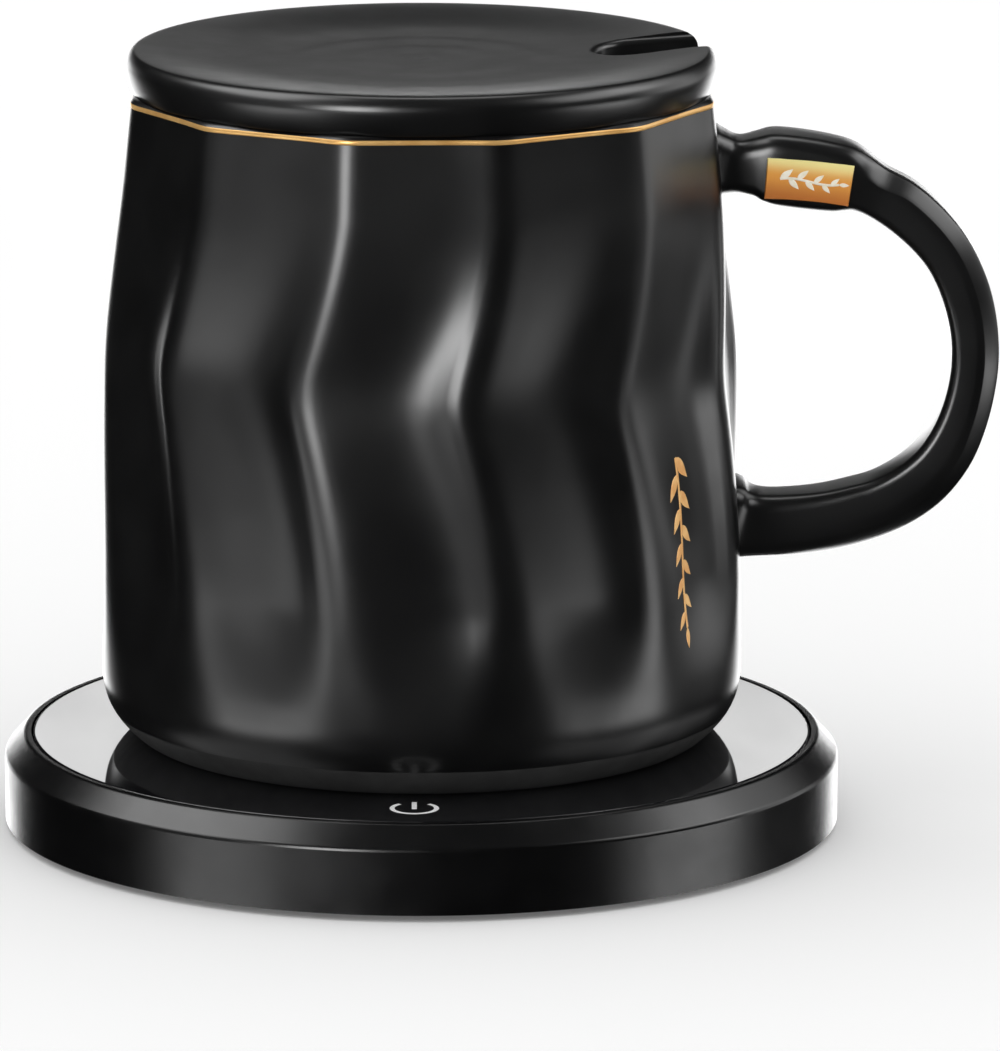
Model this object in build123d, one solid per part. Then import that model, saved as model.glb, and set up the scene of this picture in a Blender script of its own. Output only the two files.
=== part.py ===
"""Electric mug warmer: a round heated base with a glass top, a faceted ceramic mug and its lid.

Millimetres, +Z up. The origin is on the desk, on the axis of the base. The touch key is at the
front (-Y), the power inlet at the back (+Y) and the mug's handle points to +X.
"""

import os
from math import cos, radians, sin, sqrt, tan

from build123d import *

# ---- Base: housing, glass and cover ----
body_d = 120.0  # outer diameter of the housing
foot_stand = 1.0  # how far the anti-slip ring lifts the housing off the desk
cover_t = 1.8
cover_gap = 0.2  # between the cover's rim and the wall around it
wall_t = 2.5
bevel_w = 2.9  # bevelled top edge, across
bevel_h = 3.1  # bevelled top edge, down
bevel_round = 0.8
lip_w = 0.9  # flat lip between the bevel and the glass
glass_gap = 0.2
glass_t = 3.0
glass_edge_round = 0.4
tape_t = 0.3
tape_inset = 0.4  # tape to the edge of the ledge, and to the edge of the glass
ledge_w = 3.0  # how far the ledge reaches under the glass
ledge_t = 1.8
foot_ring_inset = 2.8  # anti-slip ring inside the screw recesses
foot_ring_w = 5.0
foot_ring_seat = 0.8  # depth of the groove the ring is glued into

# ---- Heater stack, hung under the glass ----
heater_inset = 15.0  # heater's edge, in from the ledge's
pad_t = 0.3
plate_t = 1.2
film_t = 0.3
insulation_t = 1.0
retainer_t = 0.8
retainer_rim = 0.5  # retainer past the heater plate all round
retainer_tab_w = 7.0
retainer_tab_angles = (20, 160, 200, 340)
tongue_w = 8.0  # tongue of the heater film that carries its solder pads
tongue_reach = 8.0  # past the heater plate
tongue_angle = -48.0
sensor_d = 3.0
sensor_h = 2.0
sensor_gap = 0.7  # around the sensor, through the film, insulation and retainer
fuse_size = (8.0, 3.0)
fuse_gap = 0.2
fuse_place = (15.0, 10.0)

# ---- Control board ----
board_w = 54.0
board_t = 1.2
board_rear = 20.0  # rear edge, in front of the axis
board_edge_gap = 0.4  # board to the ledge's inner edge
standoff_h = 0.8
standoff_r = 2.2
board_hole_inset = 4.0  # from the board's sides, and
rear_hole_inset = 5.0  # from its rear edge
front_hole_places = ((-9.0, -36.0), (11.0, -36.0))
chip_h = 1.5
chip_air = 0.5  # between the tallest chip and the retainer
controller_size = (5.0, 4.0)
controller_place = (-10.0, -28.0)
controller_legs = 4  # a side
transistor_size = (6.5, 3.5)
transistor_place = (14.0, -28.0)
transistor_legs = 3
leg_w = 0.4
leg_t = 0.3
leg_reach = 1.0
capacitor_size = (3.2, 2.5)
capacitor_places = ((0.0, -24.0), (0.0, -31.0))
connector_size = (6.0, 4.5)
connector_h = 3.5
connector_inset = 9.0  # centre of a connector, in from the board's side
connector_gap = 1.0  # from a connector's nearest corner to the retainer's edge

# ---- Touch key, under the front of the glass ----
key_inset = 7.8  # centre of the key, in from the edge of the glass
key_x = -1.0
key_spring_d = 3.6
key_wire_d = 0.6
key_spring_pitch = 1.3
guide_wall = 1.6
guide_gap = 0.4  # around the spring
lamp_size = (1.6, 0.8)
lamp_h = 0.8
lamp_gap = 0.15
symbol_d = 6.9
symbol_line = 0.7
symbol_opening = 80.0  # gap in the symbol's ring, in degrees
symbol_bar = 4.0
symbol_t = 0.3

# ---- Power inlet: 3.5 mm barrel socket with a 1.3 mm centre pin ----
inlet_w = 6.4
inlet_h = 5.2
inlet_body = 6.0  # depth of the square body behind the nose
inlet_setback = 1.0  # square body behind the ledge's edge
inlet_nose_d = 5.0
inlet_nose_gap = 0.1
inlet_recess = 0.6  # nose behind the outside of the wall
inlet_bore_d = 3.7
inlet_bore_depth = 10.0
inlet_pin_d = 1.3
inlet_pin_recess = 1.0
inlet_tip_chamfer = 0.25
inlet_shank_d = 1.9  # the pin where it is pressed into the housing's back
inlet_tab = 1.6  # soldering tab of each contact, behind the housing
contact_w = 1.2
contact_t = 0.25
solder_gap = 0.3  # end of a lead to the housing's back

# ---- Screws and leads ----
screw_boss_r = 3.0
screw_boss_gap = 0.5  # boss to the wall
cover_boss_angles = (45, 135, 225, 315)
screw_r = 1.0
screw_hole_gap = 0.05
screw_head_r = 2.0
screw_head_h = 1.0
screw_head_gap = 0.2
screw_socket_r = 0.7
screw_socket_h = 0.6
cover_screw_grip = 3.6  # screw in the housing
retainer_screw_grip = 2.0
board_screw_grip = 0.9
power_lead_r = 0.5
power_bend_r = 1.5
sensor_lead_r = 0.35
sensor_bend_r = 0.9
lead_pitch = 3.0

# ---- Mug ----
mug_h = 93.5
rim_r = 41.1  # across the flats, at the rim
belly_r = 45.8  # widest
belly_z = 11.2
foot_r = 40.5
mug_wall = 3.7
mug_floor = 6.0
mug_floor_round = 9.0
foot_hollow_r = 35.0
foot_hollow_h = 0.7
facets = 12
upper_swell = 1.9  # how the side closes in above the belly
lower_swell = 2.8  # and below it
lean_start = 26.5  # height at which the ridges start to lean sideways
kink_z = 57.0  # where they lean furthest and turn back
lean_end = 82.0  # where they stand upright again
kink_turn = 7.2  # degrees round the axis, clockwise from above
lower_lean = 1.5  # how slowly the lean builds up, 1 is evenly
upper_lean = 1.35  # and how it fades
facet_scoop = 1.3  # how far the middle of a facet sinks in at its deepest
scoop_start = 10.0  # height at which the facets start to sink in
scoop_full = 28.0  # where they are deepest, up to the kink
scoop_least = 0.02  # on the foot
rim_scoop = 0.15  # depth at the rim, as a share of the deepest
foot_rounding = 0.95  # of the ridges, as a share of the radius: 1 is a round mug
rim_rounding = 0.15
rounding_fade = 3.8  # how fast the foot's rounding is lost
rim_bevel_w = 0.8
rim_bevel_h = 0.5
gilt_h = 0.7
gilt_t = 0.3

# ---- Handle ----
loop_r = 25.3  # centre line of the round part
loop_out = 7.9  # centre of the round part, out from the belly
loop_drop = 37.8  # and down from the rim
handle_t = 6.8
handle_w = 10.0
handle_round = 2.6
arm_slope = 7.5  # fall of the upper arm, in degrees
block_t = 9.3
block_w = 11.4
block_l = 12.8
block_crown = 2.6  # rounding of the block's upper edges
block_round = 1.0  # and of its lower ones
block_out = 2.8  # from the belly to the block
badge_l = 12.2
badge_h = 5.5
badge_t = 0.4
badge_seat = 0.3

# ---- Lid ----
lid_r = 42.1
lid_h = 5.6
lid_seat_r = 40.3
lid_edge_z = 3.3
lid_crest_r = 38.8
lid_dish_r = 23.5  # where the dish levels out
lid_dish = 1.3
lid_panel_t = 3.7
skirt_gap = 1.2  # skirt to the mug's mouth
skirt_t = 2.6
skirt_h = 6.0
notch_w = 11.0
notch_start = 25.5  # inner end, from the axis
notch_angle = 12.0

# ---- Levels and radii that follow from the above ----
BOTTOM = (Align.CENTER, Align.CENTER, Align.MIN)
CUT = 1.0  # how far a cutting tool runs past what it cuts

body_r = body_d / 2
lip_r = body_r - bevel_w
seat_r = lip_r - lip_w
glass_r = seat_r - glass_gap
ledge_r = glass_r - ledge_w
wall_in = body_r - wall_t
cover_r = wall_in - cover_gap
boss_ring_r = wall_in - screw_boss_gap - screw_boss_r
foot_ring_r = boss_ring_r - screw_head_r - screw_head_gap - foot_ring_inset
heater_r = ledge_r - heater_inset
retainer_r = heater_r + retainer_rim

cover_z = foot_stand
cover_top = cover_z + cover_t
board_z = cover_top + standoff_h
board_top = board_z + board_t
retainer_z = board_top + chip_h + chip_air
insulation_z = retainer_z + retainer_t
film_z = insulation_z + insulation_t
plate_z = film_z + film_t
pad_z = plate_z + plate_t
glass_z = pad_z + pad_t
glass_top = glass_z + glass_t
ledge_top = glass_z - tape_t
ledge_z = ledge_top - ledge_t

board_r = ledge_r - board_edge_gap
rear_hole_x = board_w / 2 - board_hole_inset
rear_hole_y = -board_rear - rear_hole_inset
board_hole_places = ((-rear_hole_x, rear_hole_y), (rear_hole_x, rear_hole_y), *front_hole_places)
key_y = -(glass_r - key_inset)
guide_in = key_spring_d / 2 + key_wire_d / 2 + guide_gap
guide_r = guide_in + guide_wall
connector_x = board_w / 2 - connector_inset
connector_side = connector_x - connector_size[0] / 2
connector_rear = sqrt((retainer_r + connector_gap) ** 2 - connector_side**2)
connector_y = -(connector_rear + connector_size[1] / 2)
inlet_z = cover_top + inlet_h / 2
nose_end = body_r - inlet_recess
nose_start = ledge_r - inlet_setback
inlet_back = nose_start - inlet_body
tab_end = inlet_back - inlet_tab
bore_end = nose_end - inlet_bore_depth
pin_tip = nose_end - inlet_pin_recess
strip_z = inlet_z - inlet_bore_d / 2 - contact_t  # underside of the sleeve contact

mug_z = glass_top
rim_z = mug_z + mug_h
gilt_z = mug_h - rim_bevel_h - gilt_h  # above the foot, as all heights on the mug
loop_z = mug_h - loop_drop
loop_x = belly_r + loop_out


# ---- Small helpers ----
def disc(radius, low, high):
    return Pos(0, 0, low) * Cylinder(radius, high - low, align=BOTTOM)


def ring(outer, inner, low, high):
    return disc(outer, low, high) - disc(inner, low - CUT, high + CUT)


def post(x, y, radius, low, high):
    return Pos(x, y) * disc(radius, low, high)


def block(size, place, low, high):
    return Pos(*place, low) * Box(*size, high - low, align=BOTTOM)


def polar(radius, angle):
    return radius * cos(radians(angle)), radius * sin(radians(angle))


def group(pieces):
    return Compound(children=[piece.solid() for piece in pieces])


def lead(points, radius, bend):
    """A wire along straight runs joined by arcs, ends square."""
    path = FilletPolyline(*points, radius=bend)
    start = Plane(origin=path @ 0, z_dir=path % 0)
    return sweep(start * Circle(radius), path)


def screw(x, y, seat, grip, hole_t):
    """A screw driven upwards: its head's top is on the seat, its shank passes the hole and grips."""
    head = post(x, y, screw_head_r, seat - screw_head_h, seat)
    shank = post(x, y, screw_r, seat, seat + hole_t + grip)
    socket = RegularPolygon(screw_socket_r, 6)
    recess = Pos(x, y, seat - screw_head_h) * extrude(socket, screw_socket_h)
    return head + shank - recess


def key_clearance(low, high):
    return post(key_x, key_y, guide_r + guide_gap, low - CUT, high + CUT)


# ---- Base ----
def upper_housing():
    outline = Polyline(
        (wall_in, cover_z),
        (body_r, cover_z),
        (body_r, glass_top - bevel_h),
        (lip_r, glass_top),
        (seat_r, glass_top),
        (seat_r, ledge_top),
        (ledge_r, ledge_top),
        (ledge_r, ledge_z),
        (wall_in, ledge_z),
        close=True,
    )
    section = make_face(outline)
    corners = section.vertices().filter_by(lambda v: v.Y > ledge_top and v.X > seat_r + lip_w / 2)
    section = fillet(corners, bevel_round)
    shell = revolve(Plane.XZ * section, Axis.Z)
    for angle in cover_boss_angles:
        x, y = polar(boss_ring_r, angle)
        shell += post(x, y, screw_boss_r, cover_top, ledge_top)
    for angle in retainer_tab_angles:
        x, y = polar(boss_ring_r, angle)
        shell += post(x, y, screw_boss_r, insulation_z, ledge_top)
    for angle in cover_boss_angles:
        x, y = polar(boss_ring_r, angle)
        shell -= post(x, y, screw_r + screw_hole_gap, cover_top - CUT, cover_top + cover_screw_grip)
    for angle in retainer_tab_angles:
        x, y = polar(boss_ring_r, angle)
        hole_end = insulation_z + retainer_screw_grip
        shell -= post(x, y, screw_r + screw_hole_gap, insulation_z - CUT, hole_end)
    hole = Cylinder(inlet_nose_d / 2 + inlet_nose_gap, body_r, align=BOTTOM)
    return shell - Pos(0, ledge_r - CUT, inlet_z) * Rot(-90, 0, 0) * hole


def bottom_cover():
    cover = disc(cover_r, cover_z, cover_top)
    groove_top = cover_z + foot_ring_seat
    cover -= ring(foot_ring_r, foot_ring_r - foot_ring_w, cover_z - CUT, groove_top)
    for angle in cover_boss_angles:
        x, y = polar(boss_ring_r, angle)
        cover -= post(x, y, screw_head_r + screw_head_gap, cover_z - CUT, cover_z + screw_head_h)
        cover -= post(x, y, screw_r + screw_hole_gap, cover_z - CUT, cover_top + CUT)
    for x, y in board_hole_places:
        cover += post(x, y, standoff_r, cover_top, board_z)
        cover -= post(x, y, screw_r + screw_hole_gap, board_z - board_screw_grip, board_z + CUT)
    return cover


def anti_slip_ring():
    return ring(foot_ring_r, foot_ring_r - foot_ring_w, 0, cover_z + foot_ring_seat)


def glass_panel():
    glass = disc(glass_r, glass_z, glass_top)
    edge = glass.edges().filter_by(GeomType.CIRCLE).sort_by(Axis.Z)[-1]
    return fillet(edge, glass_edge_round) - power_symbol()


def power_symbol():
    """The lit mark over the touch key: an open ring with an upright bar in its opening."""
    outer = symbol_d / 2
    band = Circle(outer) - Circle(outer - symbol_line)
    wedge = [(0, 0)] + [
        (2 * outer * sin(radians(a)), 2 * outer * cos(radians(a)))
        for a in (-symbol_opening / 2, 0, symbol_opening / 2)
    ]
    band -= make_face(Polyline(*wedge, close=True))
    bar = Pos(0, outer - symbol_bar / 2) * Rectangle(symbol_line, symbol_bar)
    place = Pos(key_x, key_y, glass_top - symbol_t)
    return group([place * extrude(band, symbol_t), place * extrude(bar, symbol_t)])


def glass_adhesive_ring():
    return ring(glass_r - tape_inset, ledge_r + tape_inset, ledge_top, glass_z)


# ---- Heater stack ----
def thermal_pad():
    return disc(heater_r, pad_z, glass_z) - key_clearance(pad_z, glass_z)


def heater_plate():
    return disc(heater_r, plate_z, pad_z) - key_clearance(plate_z, pad_z)


def heater_film():
    film = disc(heater_r, film_z, plate_z)
    reach = heater_r + tongue_reach
    tongue = block((reach, tongue_w), (reach / 2, 0), film_z, plate_z)
    film += Rot(0, 0, tongue_angle) * tongue
    film -= disc(sensor_d / 2 + sensor_gap, film_z - CUT, plate_z + CUT)
    return film - key_clearance(film_z, plate_z)


def insulation_pad():
    pad = disc(heater_r, insulation_z, film_z)
    pad -= disc(sensor_d / 2 + sensor_gap, insulation_z - CUT, film_z + CUT)
    pocket = [side + 2 * fuse_gap for side in fuse_size]
    pad -= block(pocket, fuse_place, insulation_z - CUT, film_z + CUT)
    return pad - key_clearance(insulation_z, film_z)


def heater_retainer():
    plate = disc(retainer_r, retainer_z, insulation_z)
    for angle in retainer_tab_angles:
        tab = block((boss_ring_r, retainer_tab_w), (boss_ring_r / 2, 0), retainer_z, insulation_z)
        plate += Rot(0, 0, angle) * tab
        x, y = polar(boss_ring_r, angle)
        plate += post(x, y, screw_boss_r, retainer_z, insulation_z)
        plate -= post(x, y, screw_r + screw_hole_gap, retainer_z - CUT, insulation_z + CUT)
    plate -= disc(sensor_d / 2 + sensor_gap, retainer_z - CUT, insulation_z + CUT)
    return plate - key_clearance(retainer_z, insulation_z)


def thermistor():
    return disc(sensor_d / 2, plate_z - sensor_h, plate_z)


def thermal_fuse():
    return block(fuse_size, fuse_place, insulation_z, film_z)


def retainer_screws():
    places = [polar(boss_ring_r, angle) for angle in retainer_tab_angles]
    grip = retainer_screw_grip - screw_hole_gap
    return group([screw(x, y, retainer_z, grip, retainer_t) for x, y in places])


def cover_screws():
    places = [polar(boss_ring_r, angle) for angle in cover_boss_angles]
    seat = cover_z + screw_head_h
    grip = cover_screw_grip - screw_hole_gap
    return group([screw(x, y, seat, grip, cover_top - seat) for x, y in places])


# ---- Control board ----
def control_board():
    depth = board_r - board_rear
    outline = Pos(0, -board_rear - depth / 2) * Rectangle(board_w, depth)
    outline &= Circle(board_r)
    board = Pos(0, 0, board_z) * extrude(outline, board_t)
    for x, y in board_hole_places:
        board -= post(x, y, screw_r + screw_hole_gap, board_z - CUT, board_top + CUT)
    return board


def board_screws():
    """Driven downwards: the same screw turned over, its head on the board."""
    grip = board_screw_grip - screw_hole_gap
    turned = [Rot(180, 0, 0) * screw(x, -y, -board_top, grip, board_t) for x, y in board_hole_places]
    return group(turned)


def chip(size, place, legs):
    """A moulded chip body on two rows of legs that lie on the board."""
    body = block(size, place, board_top + leg_t, board_top + chip_h)
    pitch = size[0] / legs
    for side in (-1, 1):
        for i in range(legs):
            x = place[0] + (i + 0.5) * pitch - size[0] / 2
            y = place[1] + side * size[1] / 2
            body += block((leg_w, 2 * leg_reach), (x, y), board_top, board_top + 2 * leg_t)
    return body


def controller_chip():
    return chip(controller_size, controller_place, controller_legs)


def power_transistor():
    return chip(transistor_size, transistor_place, transistor_legs)


def board_capacitors():
    top = board_top + chip_h
    return group([block(capacitor_size, place, board_top, top) for place in capacitor_places])


def board_connector(side):
    place = (side * connector_x, connector_y)
    return block(connector_size, place, board_top, board_top + connector_h)


def touch_spring():
    """The key's sensing coil, pressed between the board and the glass."""
    height = glass_z - board_top - key_wire_d
    path = Helix(key_spring_pitch, height, key_spring_d / 2)
    wire = Plane(origin=path @ 0, z_dir=path % 0) * Circle(key_wire_d / 2)
    return Pos(key_x, key_y, board_top + key_wire_d / 2) * sweep(wire, path, is_frenet=True)


def lamp_places():
    middle = (guide_in + guide_r) / 2
    return [(key_x + side * middle, key_y) for side in (-1, 1)]


def light_guide():
    """A clear sleeve round the coil that carries the lamps' light up to the symbol."""
    guide = Pos(key_x, key_y) * ring(guide_r, guide_in, board_top, glass_z)
    pocket = [lamp_size[1] + 2 * lamp_gap, lamp_size[0] + 2 * lamp_gap]
    for place in lamp_places():
        guide -= block(pocket, place, board_top - CUT, board_top + lamp_h + lamp_gap)
    return guide


def symbol_lamps():
    turned = (lamp_size[1], lamp_size[0])
    return group([block(turned, place, board_top, board_top + lamp_h) for place in lamp_places()])


# ---- Power inlet ----
def along_y(radius, start, end, z):
    return Pos(0, start, z) * Rot(-90, 0, 0) * Cylinder(radius, end - start, align=BOTTOM)


def contact_strip(start, end, low):
    size = (contact_w, end - start)
    return block(size, (0, (start + end) / 2), low, low + contact_t)


def inlet_housing():
    middle = (inlet_back + nose_start) / 2
    body = block((inlet_w, inlet_body), (0, middle), cover_top, cover_top + inlet_h)
    body += along_y(inlet_nose_d / 2, nose_start, nose_end, inlet_z)
    body -= along_y(inlet_bore_d / 2, bore_end, nose_end + CUT, inlet_z)
    body -= along_y(inlet_shank_d / 2, inlet_back - CUT, bore_end, inlet_z)
    return body - contact_strip(inlet_back - CUT, pin_tip, strip_z)


def inlet_pin():
    """Its free length in the bore, the shank in the housing's back and the tab behind it."""
    pin = along_y(inlet_pin_d / 2, bore_end, pin_tip, inlet_z)
    tip = pin.edges().filter_by(GeomType.CIRCLE).sort_by(Axis.Y)[-1]
    pin = chamfer(tip, inlet_tip_chamfer)
    pin += along_y(inlet_shank_d / 2, inlet_back, bore_end, inlet_z)
    return pin + contact_strip(tab_end, inlet_back, inlet_z - contact_t / 2)


def inlet_sleeve_contact():
    return contact_strip(tab_end, pin_tip, strip_z)


# ---- Leads ----
def inlet_leads():
    """From the top of the inlet's two tabs, under the heater, down on to the board's rear."""
    over_board = board_top + power_lead_r
    rise = board_rear - 2 * lead_pitch
    tab_top = inlet_z + contact_t / 2
    pieces = []
    for x, seat in ((2 * lead_pitch, tab_top), (3 * lead_pitch, strip_z + contact_t)):
        z = seat + power_lead_r
        route = (
            (0, inlet_back - solder_gap, z),
            (0, tab_end - lead_pitch, z),
            (x, tab_end - lead_pitch - x, z),
            (x, -rise, z),
            (x, -board_rear + power_lead_r, over_board),
            (x, -board_rear - lead_pitch, over_board),
        )
        pieces.append(lead(route, power_lead_r, power_bend_r))
    return group(pieces)


def heater_leads():
    """From the pads under the film's tongue into the side of the heater connector."""
    along = Vector(*polar(1, tongue_angle), 0)
    across = Vector(-along.Y, along.X, 0)
    entry_x = connector_x + connector_size[0] / 2
    entry_z = board_top + connector_h / 2
    pieces = []
    for side in (-1, 1):
        spot = along * (heater_r + tongue_reach - 2 * power_lead_r)
        spot += across * (side * tongue_w / 4)
        entry_y = connector_y - side * connector_size[1] / 4
        route = (
            (spot.X, spot.Y, film_z),
            (spot.X, spot.Y, entry_z),
            (spot.X, entry_y, entry_z),
            (entry_x, entry_y, entry_z),
        )
        pieces.append(lead(route, power_lead_r, power_lead_r))
    return group(pieces)


def sensor_leads():
    """From the thermistor, flat between board and retainer, into the sensor connector."""
    top = plate_z - sensor_h
    level = (board_top + retainer_z) / 2
    entry = connector_y + connector_size[1] / 2
    pieces = []
    for side in (-1, 1):
        y = side * sensor_d / 4
        x = -connector_x - side * sensor_d / 4
        route = ((0, y, top), (0, y, level), (x, y, level), (x, entry, level))
        pieces.append(lead(route, sensor_lead_r, sensor_bend_r))
    return group(pieces)


# ---- Mug ----
def mug_radius(z):
    """Outer radius across the flats, at a height above the foot."""
    if z > belly_z:
        share = (z - belly_z) / (mug_h - belly_z)
        return belly_r - (belly_r - rim_r) * share**upper_swell
    share = 1 - z / belly_z
    return belly_r - (belly_r - foot_r) * share**lower_swell


def ridge_turn(z):
    """How far the ridges have leaned round the axis at a height above the foot, in degrees."""
    if z <= kink_z:
        return -kink_turn * max(0, (z - lean_start) / (kink_z - lean_start)) ** lower_lean
    return -kink_turn * max(0, (lean_end - z) / (lean_end - kink_z)) ** upper_lean


def scoop_depth(z):
    """How far the middle of a facet sinks in at a height above the foot."""
    low = min(1, max(0, (z - scoop_start) / (scoop_full - scoop_start)))
    high = min(1, max(0, (mug_h - z) / (mug_h - kink_z)))
    share = rim_scoop + (1 - rim_scoop) * high**2 * (3 - 2 * high)
    return max(scoop_least, facet_scoop * low**2 * (3 - 2 * low) * share)


def facet_section(z, radius):
    """A rounded polygon of shallow hollows with a ridge half a facet away from the handle's direction."""
    rounding = rim_rounding + (foot_rounding - rim_rounding) * (1 - z / mug_h) ** rounding_fade
    half = 180 / facets
    corner_r = radius / cos(radians(half))
    middle_r = radius - scoop_depth(z)
    sides = []
    for i in range(facets):
        start, end = polar(corner_r, (2 * i - 1) * half), polar(corner_r, (2 * i + 1) * half)
        sides.append(ThreePointArc(start, polar(middle_r, 2 * i * half), end))
    shape = make_face(Curve() + sides)
    shape = fillet(shape.vertices(), rounding * radius)
    return Pos(0, 0, mug_z + z) * Rot(0, 0, ridge_turn(z)) * shape


def side_band(low, high, steps):
    """The side between two heights, through evenly spaced sections."""
    heights = [low + (high - low) * i / steps for i in range(steps + 1)]
    return loft([facet_section(z, mug_radius(z)) for z in heights])


def rim_section(inset, lift):
    """The section at the foot of the gilt line, made smaller and moved up."""
    return Pos(0, 0, lift) * facet_section(gilt_z, mug_radius(gilt_z) - inset)


def mug_outside():
    """A round foot, a flank where the ridges come up, a leaning waist and a shoulder."""
    side = side_band(0, belly_z, 4) + side_band(belly_z, lean_start, 3)
    side += side_band(lean_start, kink_z, 3) + side_band(kink_z, gilt_z, 4)
    neck = extrude(rim_section(gilt_t, 0), gilt_h)
    bevel = loft([rim_section(0, gilt_h), rim_section(rim_bevel_w, gilt_h + rim_bevel_h)], ruled=True)
    return side + neck + bevel


def mug_cavity():
    corner = mug_floor + mug_floor_round
    heights = [corner, (corner + mug_h) / 2, (corner + 3 * mug_h) / 4, mug_h]
    side = Spline(*[(mug_radius(z) - mug_wall, mug_z + z) for z in heights])
    low, high = side @ 0, side @ 1
    floor_z = mug_z + mug_floor
    floor_r = low.X - mug_floor_round
    bend = TangentArc((low.X, low.Y), (floor_r, floor_z), tangent=(0, -1))
    above = high.Y + CUT
    rest = Polyline((floor_r, floor_z), (0, floor_z), (0, above), (high.X, above), (high.X, high.Y))
    return revolve(Plane.XZ * make_face(side + bend + rest), Axis.Z)


def loop_point(angle, radius=loop_r):
    return loop_x + radius * cos(radians(angle)), 0, mug_z + loop_z + radius * sin(radians(angle))


def handle_path():
    """Upper arm, round part and lower arm, from inside the mug's wall and back into it."""
    start = loop_point(90 - arm_slope)
    inside = rim_r - mug_wall / 2
    top = (inside, 0, start[2] + (start[0] - inside) * tan(radians(arm_slope)))
    end = loop_point(-90)
    arc = ThreePointArc(start, loop_point(0), end)
    return Curve() + [Line(top, start), arc, Line(end, (inside, 0, end[2]))]


def arm_frame(distance):
    """On the upper arm, a distance out from the belly: X along the arm, Z out to the front."""
    start = Vector(*loop_point(90 - arm_slope))
    along = Vector(cos(radians(arm_slope)), 0, -sin(radians(arm_slope)))
    travel = (belly_r + distance - start.X) / along.X
    return Plane(origin=start + along * travel, x_dir=along, z_dir=(0, -1, 0))


def arm_block():
    frame = arm_frame(block_out + block_l / 2)
    bar = Box(block_l, block_t, block_w)
    low, high = bar.edges().filter_by(Axis.X).group_by(Axis.Y)
    bar = fillet(low, block_round)
    high = bar.edges().filter_by(Axis.X).group_by(Axis.Y)[-1]
    return frame * fillet(high, block_crown)


def handle_badge():
    frame = arm_frame(block_out + block_l / 2)
    middle = (block_round - block_crown) / 2
    plate = Box(badge_l, badge_h, badge_t, align=BOTTOM)
    return frame * Pos(0, middle, block_w / 2 - badge_seat) * plate


def handle():
    path = handle_path()
    start = Plane(origin=path @ 0, x_dir=(0, 1, 0), z_dir=path % 0)
    bar = sweep(start * RectangleRounded(handle_w, handle_t, handle_round), path)
    return bar + arm_block() - handle_badge()


def mug_body():
    hollow = Pos(0, 0, mug_z) * Cylinder(foot_hollow_r, foot_hollow_h, align=BOTTOM)
    return mug_outside() + handle() - mug_cavity() - hollow


def gilt_rim_line():
    return extrude(rim_section(0, 0), gilt_h) - extrude(rim_section(gilt_t, 0), gilt_h)


# ---- Lid ----
def lid_section():
    skirt_r = rim_r - mug_wall - skirt_gap
    inside = skirt_r - skirt_t
    middle = lid_h - lid_dish
    edge_points = (lid_seat_r, 0), (lid_r, lid_edge_z), (lid_crest_r, lid_h)
    edge = Spline(*edge_points, tangents=[(1, 0.5), (-1, 0)])
    top_points = (lid_crest_r, lid_h), (lid_dish_r, middle), (0, middle)
    top = Spline(*top_points, tangents=[(-1, 0), (-1, 0)])
    under = Polyline(
        (0, middle),
        (0, middle - lid_panel_t),
        (inside, middle - lid_panel_t),
        (inside, -skirt_h),
        (skirt_r, -skirt_h),
        (skirt_r, 0),
        (lid_seat_r, 0),
    )
    return make_face(edge + top + under)


def spoon_notch():
    middle = notch_start + notch_w / 2
    slot = Pos(middle, 0) * Circle(notch_w / 2)
    slot += Pos(middle + lid_r / 2, 0) * Rectangle(lid_r, notch_w)
    return Rot(0, 0, notch_angle) * Pos(0, 0, -skirt_h - CUT) * extrude(slot, skirt_h + lid_h + 2 * CUT)


def lid():
    return Pos(0, 0, rim_z) * (revolve(Plane.XZ * lid_section(), Axis.Z) - spoon_notch())


def heater_connector():
    return board_connector(1)


def sensor_connector():
    return board_connector(-1)


PIECES = (
    upper_housing,
    bottom_cover,
    anti_slip_ring,
    glass_panel,
    power_symbol,
    glass_adhesive_ring,
    thermal_pad,
    heater_plate,
    heater_film,
    insulation_pad,
    heater_retainer,
    thermistor,
    thermal_fuse,
    retainer_screws,
    cover_screws,
    control_board,
    board_screws,
    controller_chip,
    power_transistor,
    board_capacitors,
    heater_connector,
    sensor_connector,
    touch_spring,
    light_guide,
    symbol_lamps,
    inlet_housing,
    inlet_pin,
    inlet_sleeve_contact,
    inlet_leads,
    heater_leads,
    sensor_leads,
    mug_body,
    gilt_rim_line,
    handle_badge,
    lid,
)

os.makedirs("parts", exist_ok=True)
for piece in PIECES:
    export_step(piece(), f"parts/{piece.__name__}.step")
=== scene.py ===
import math

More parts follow.
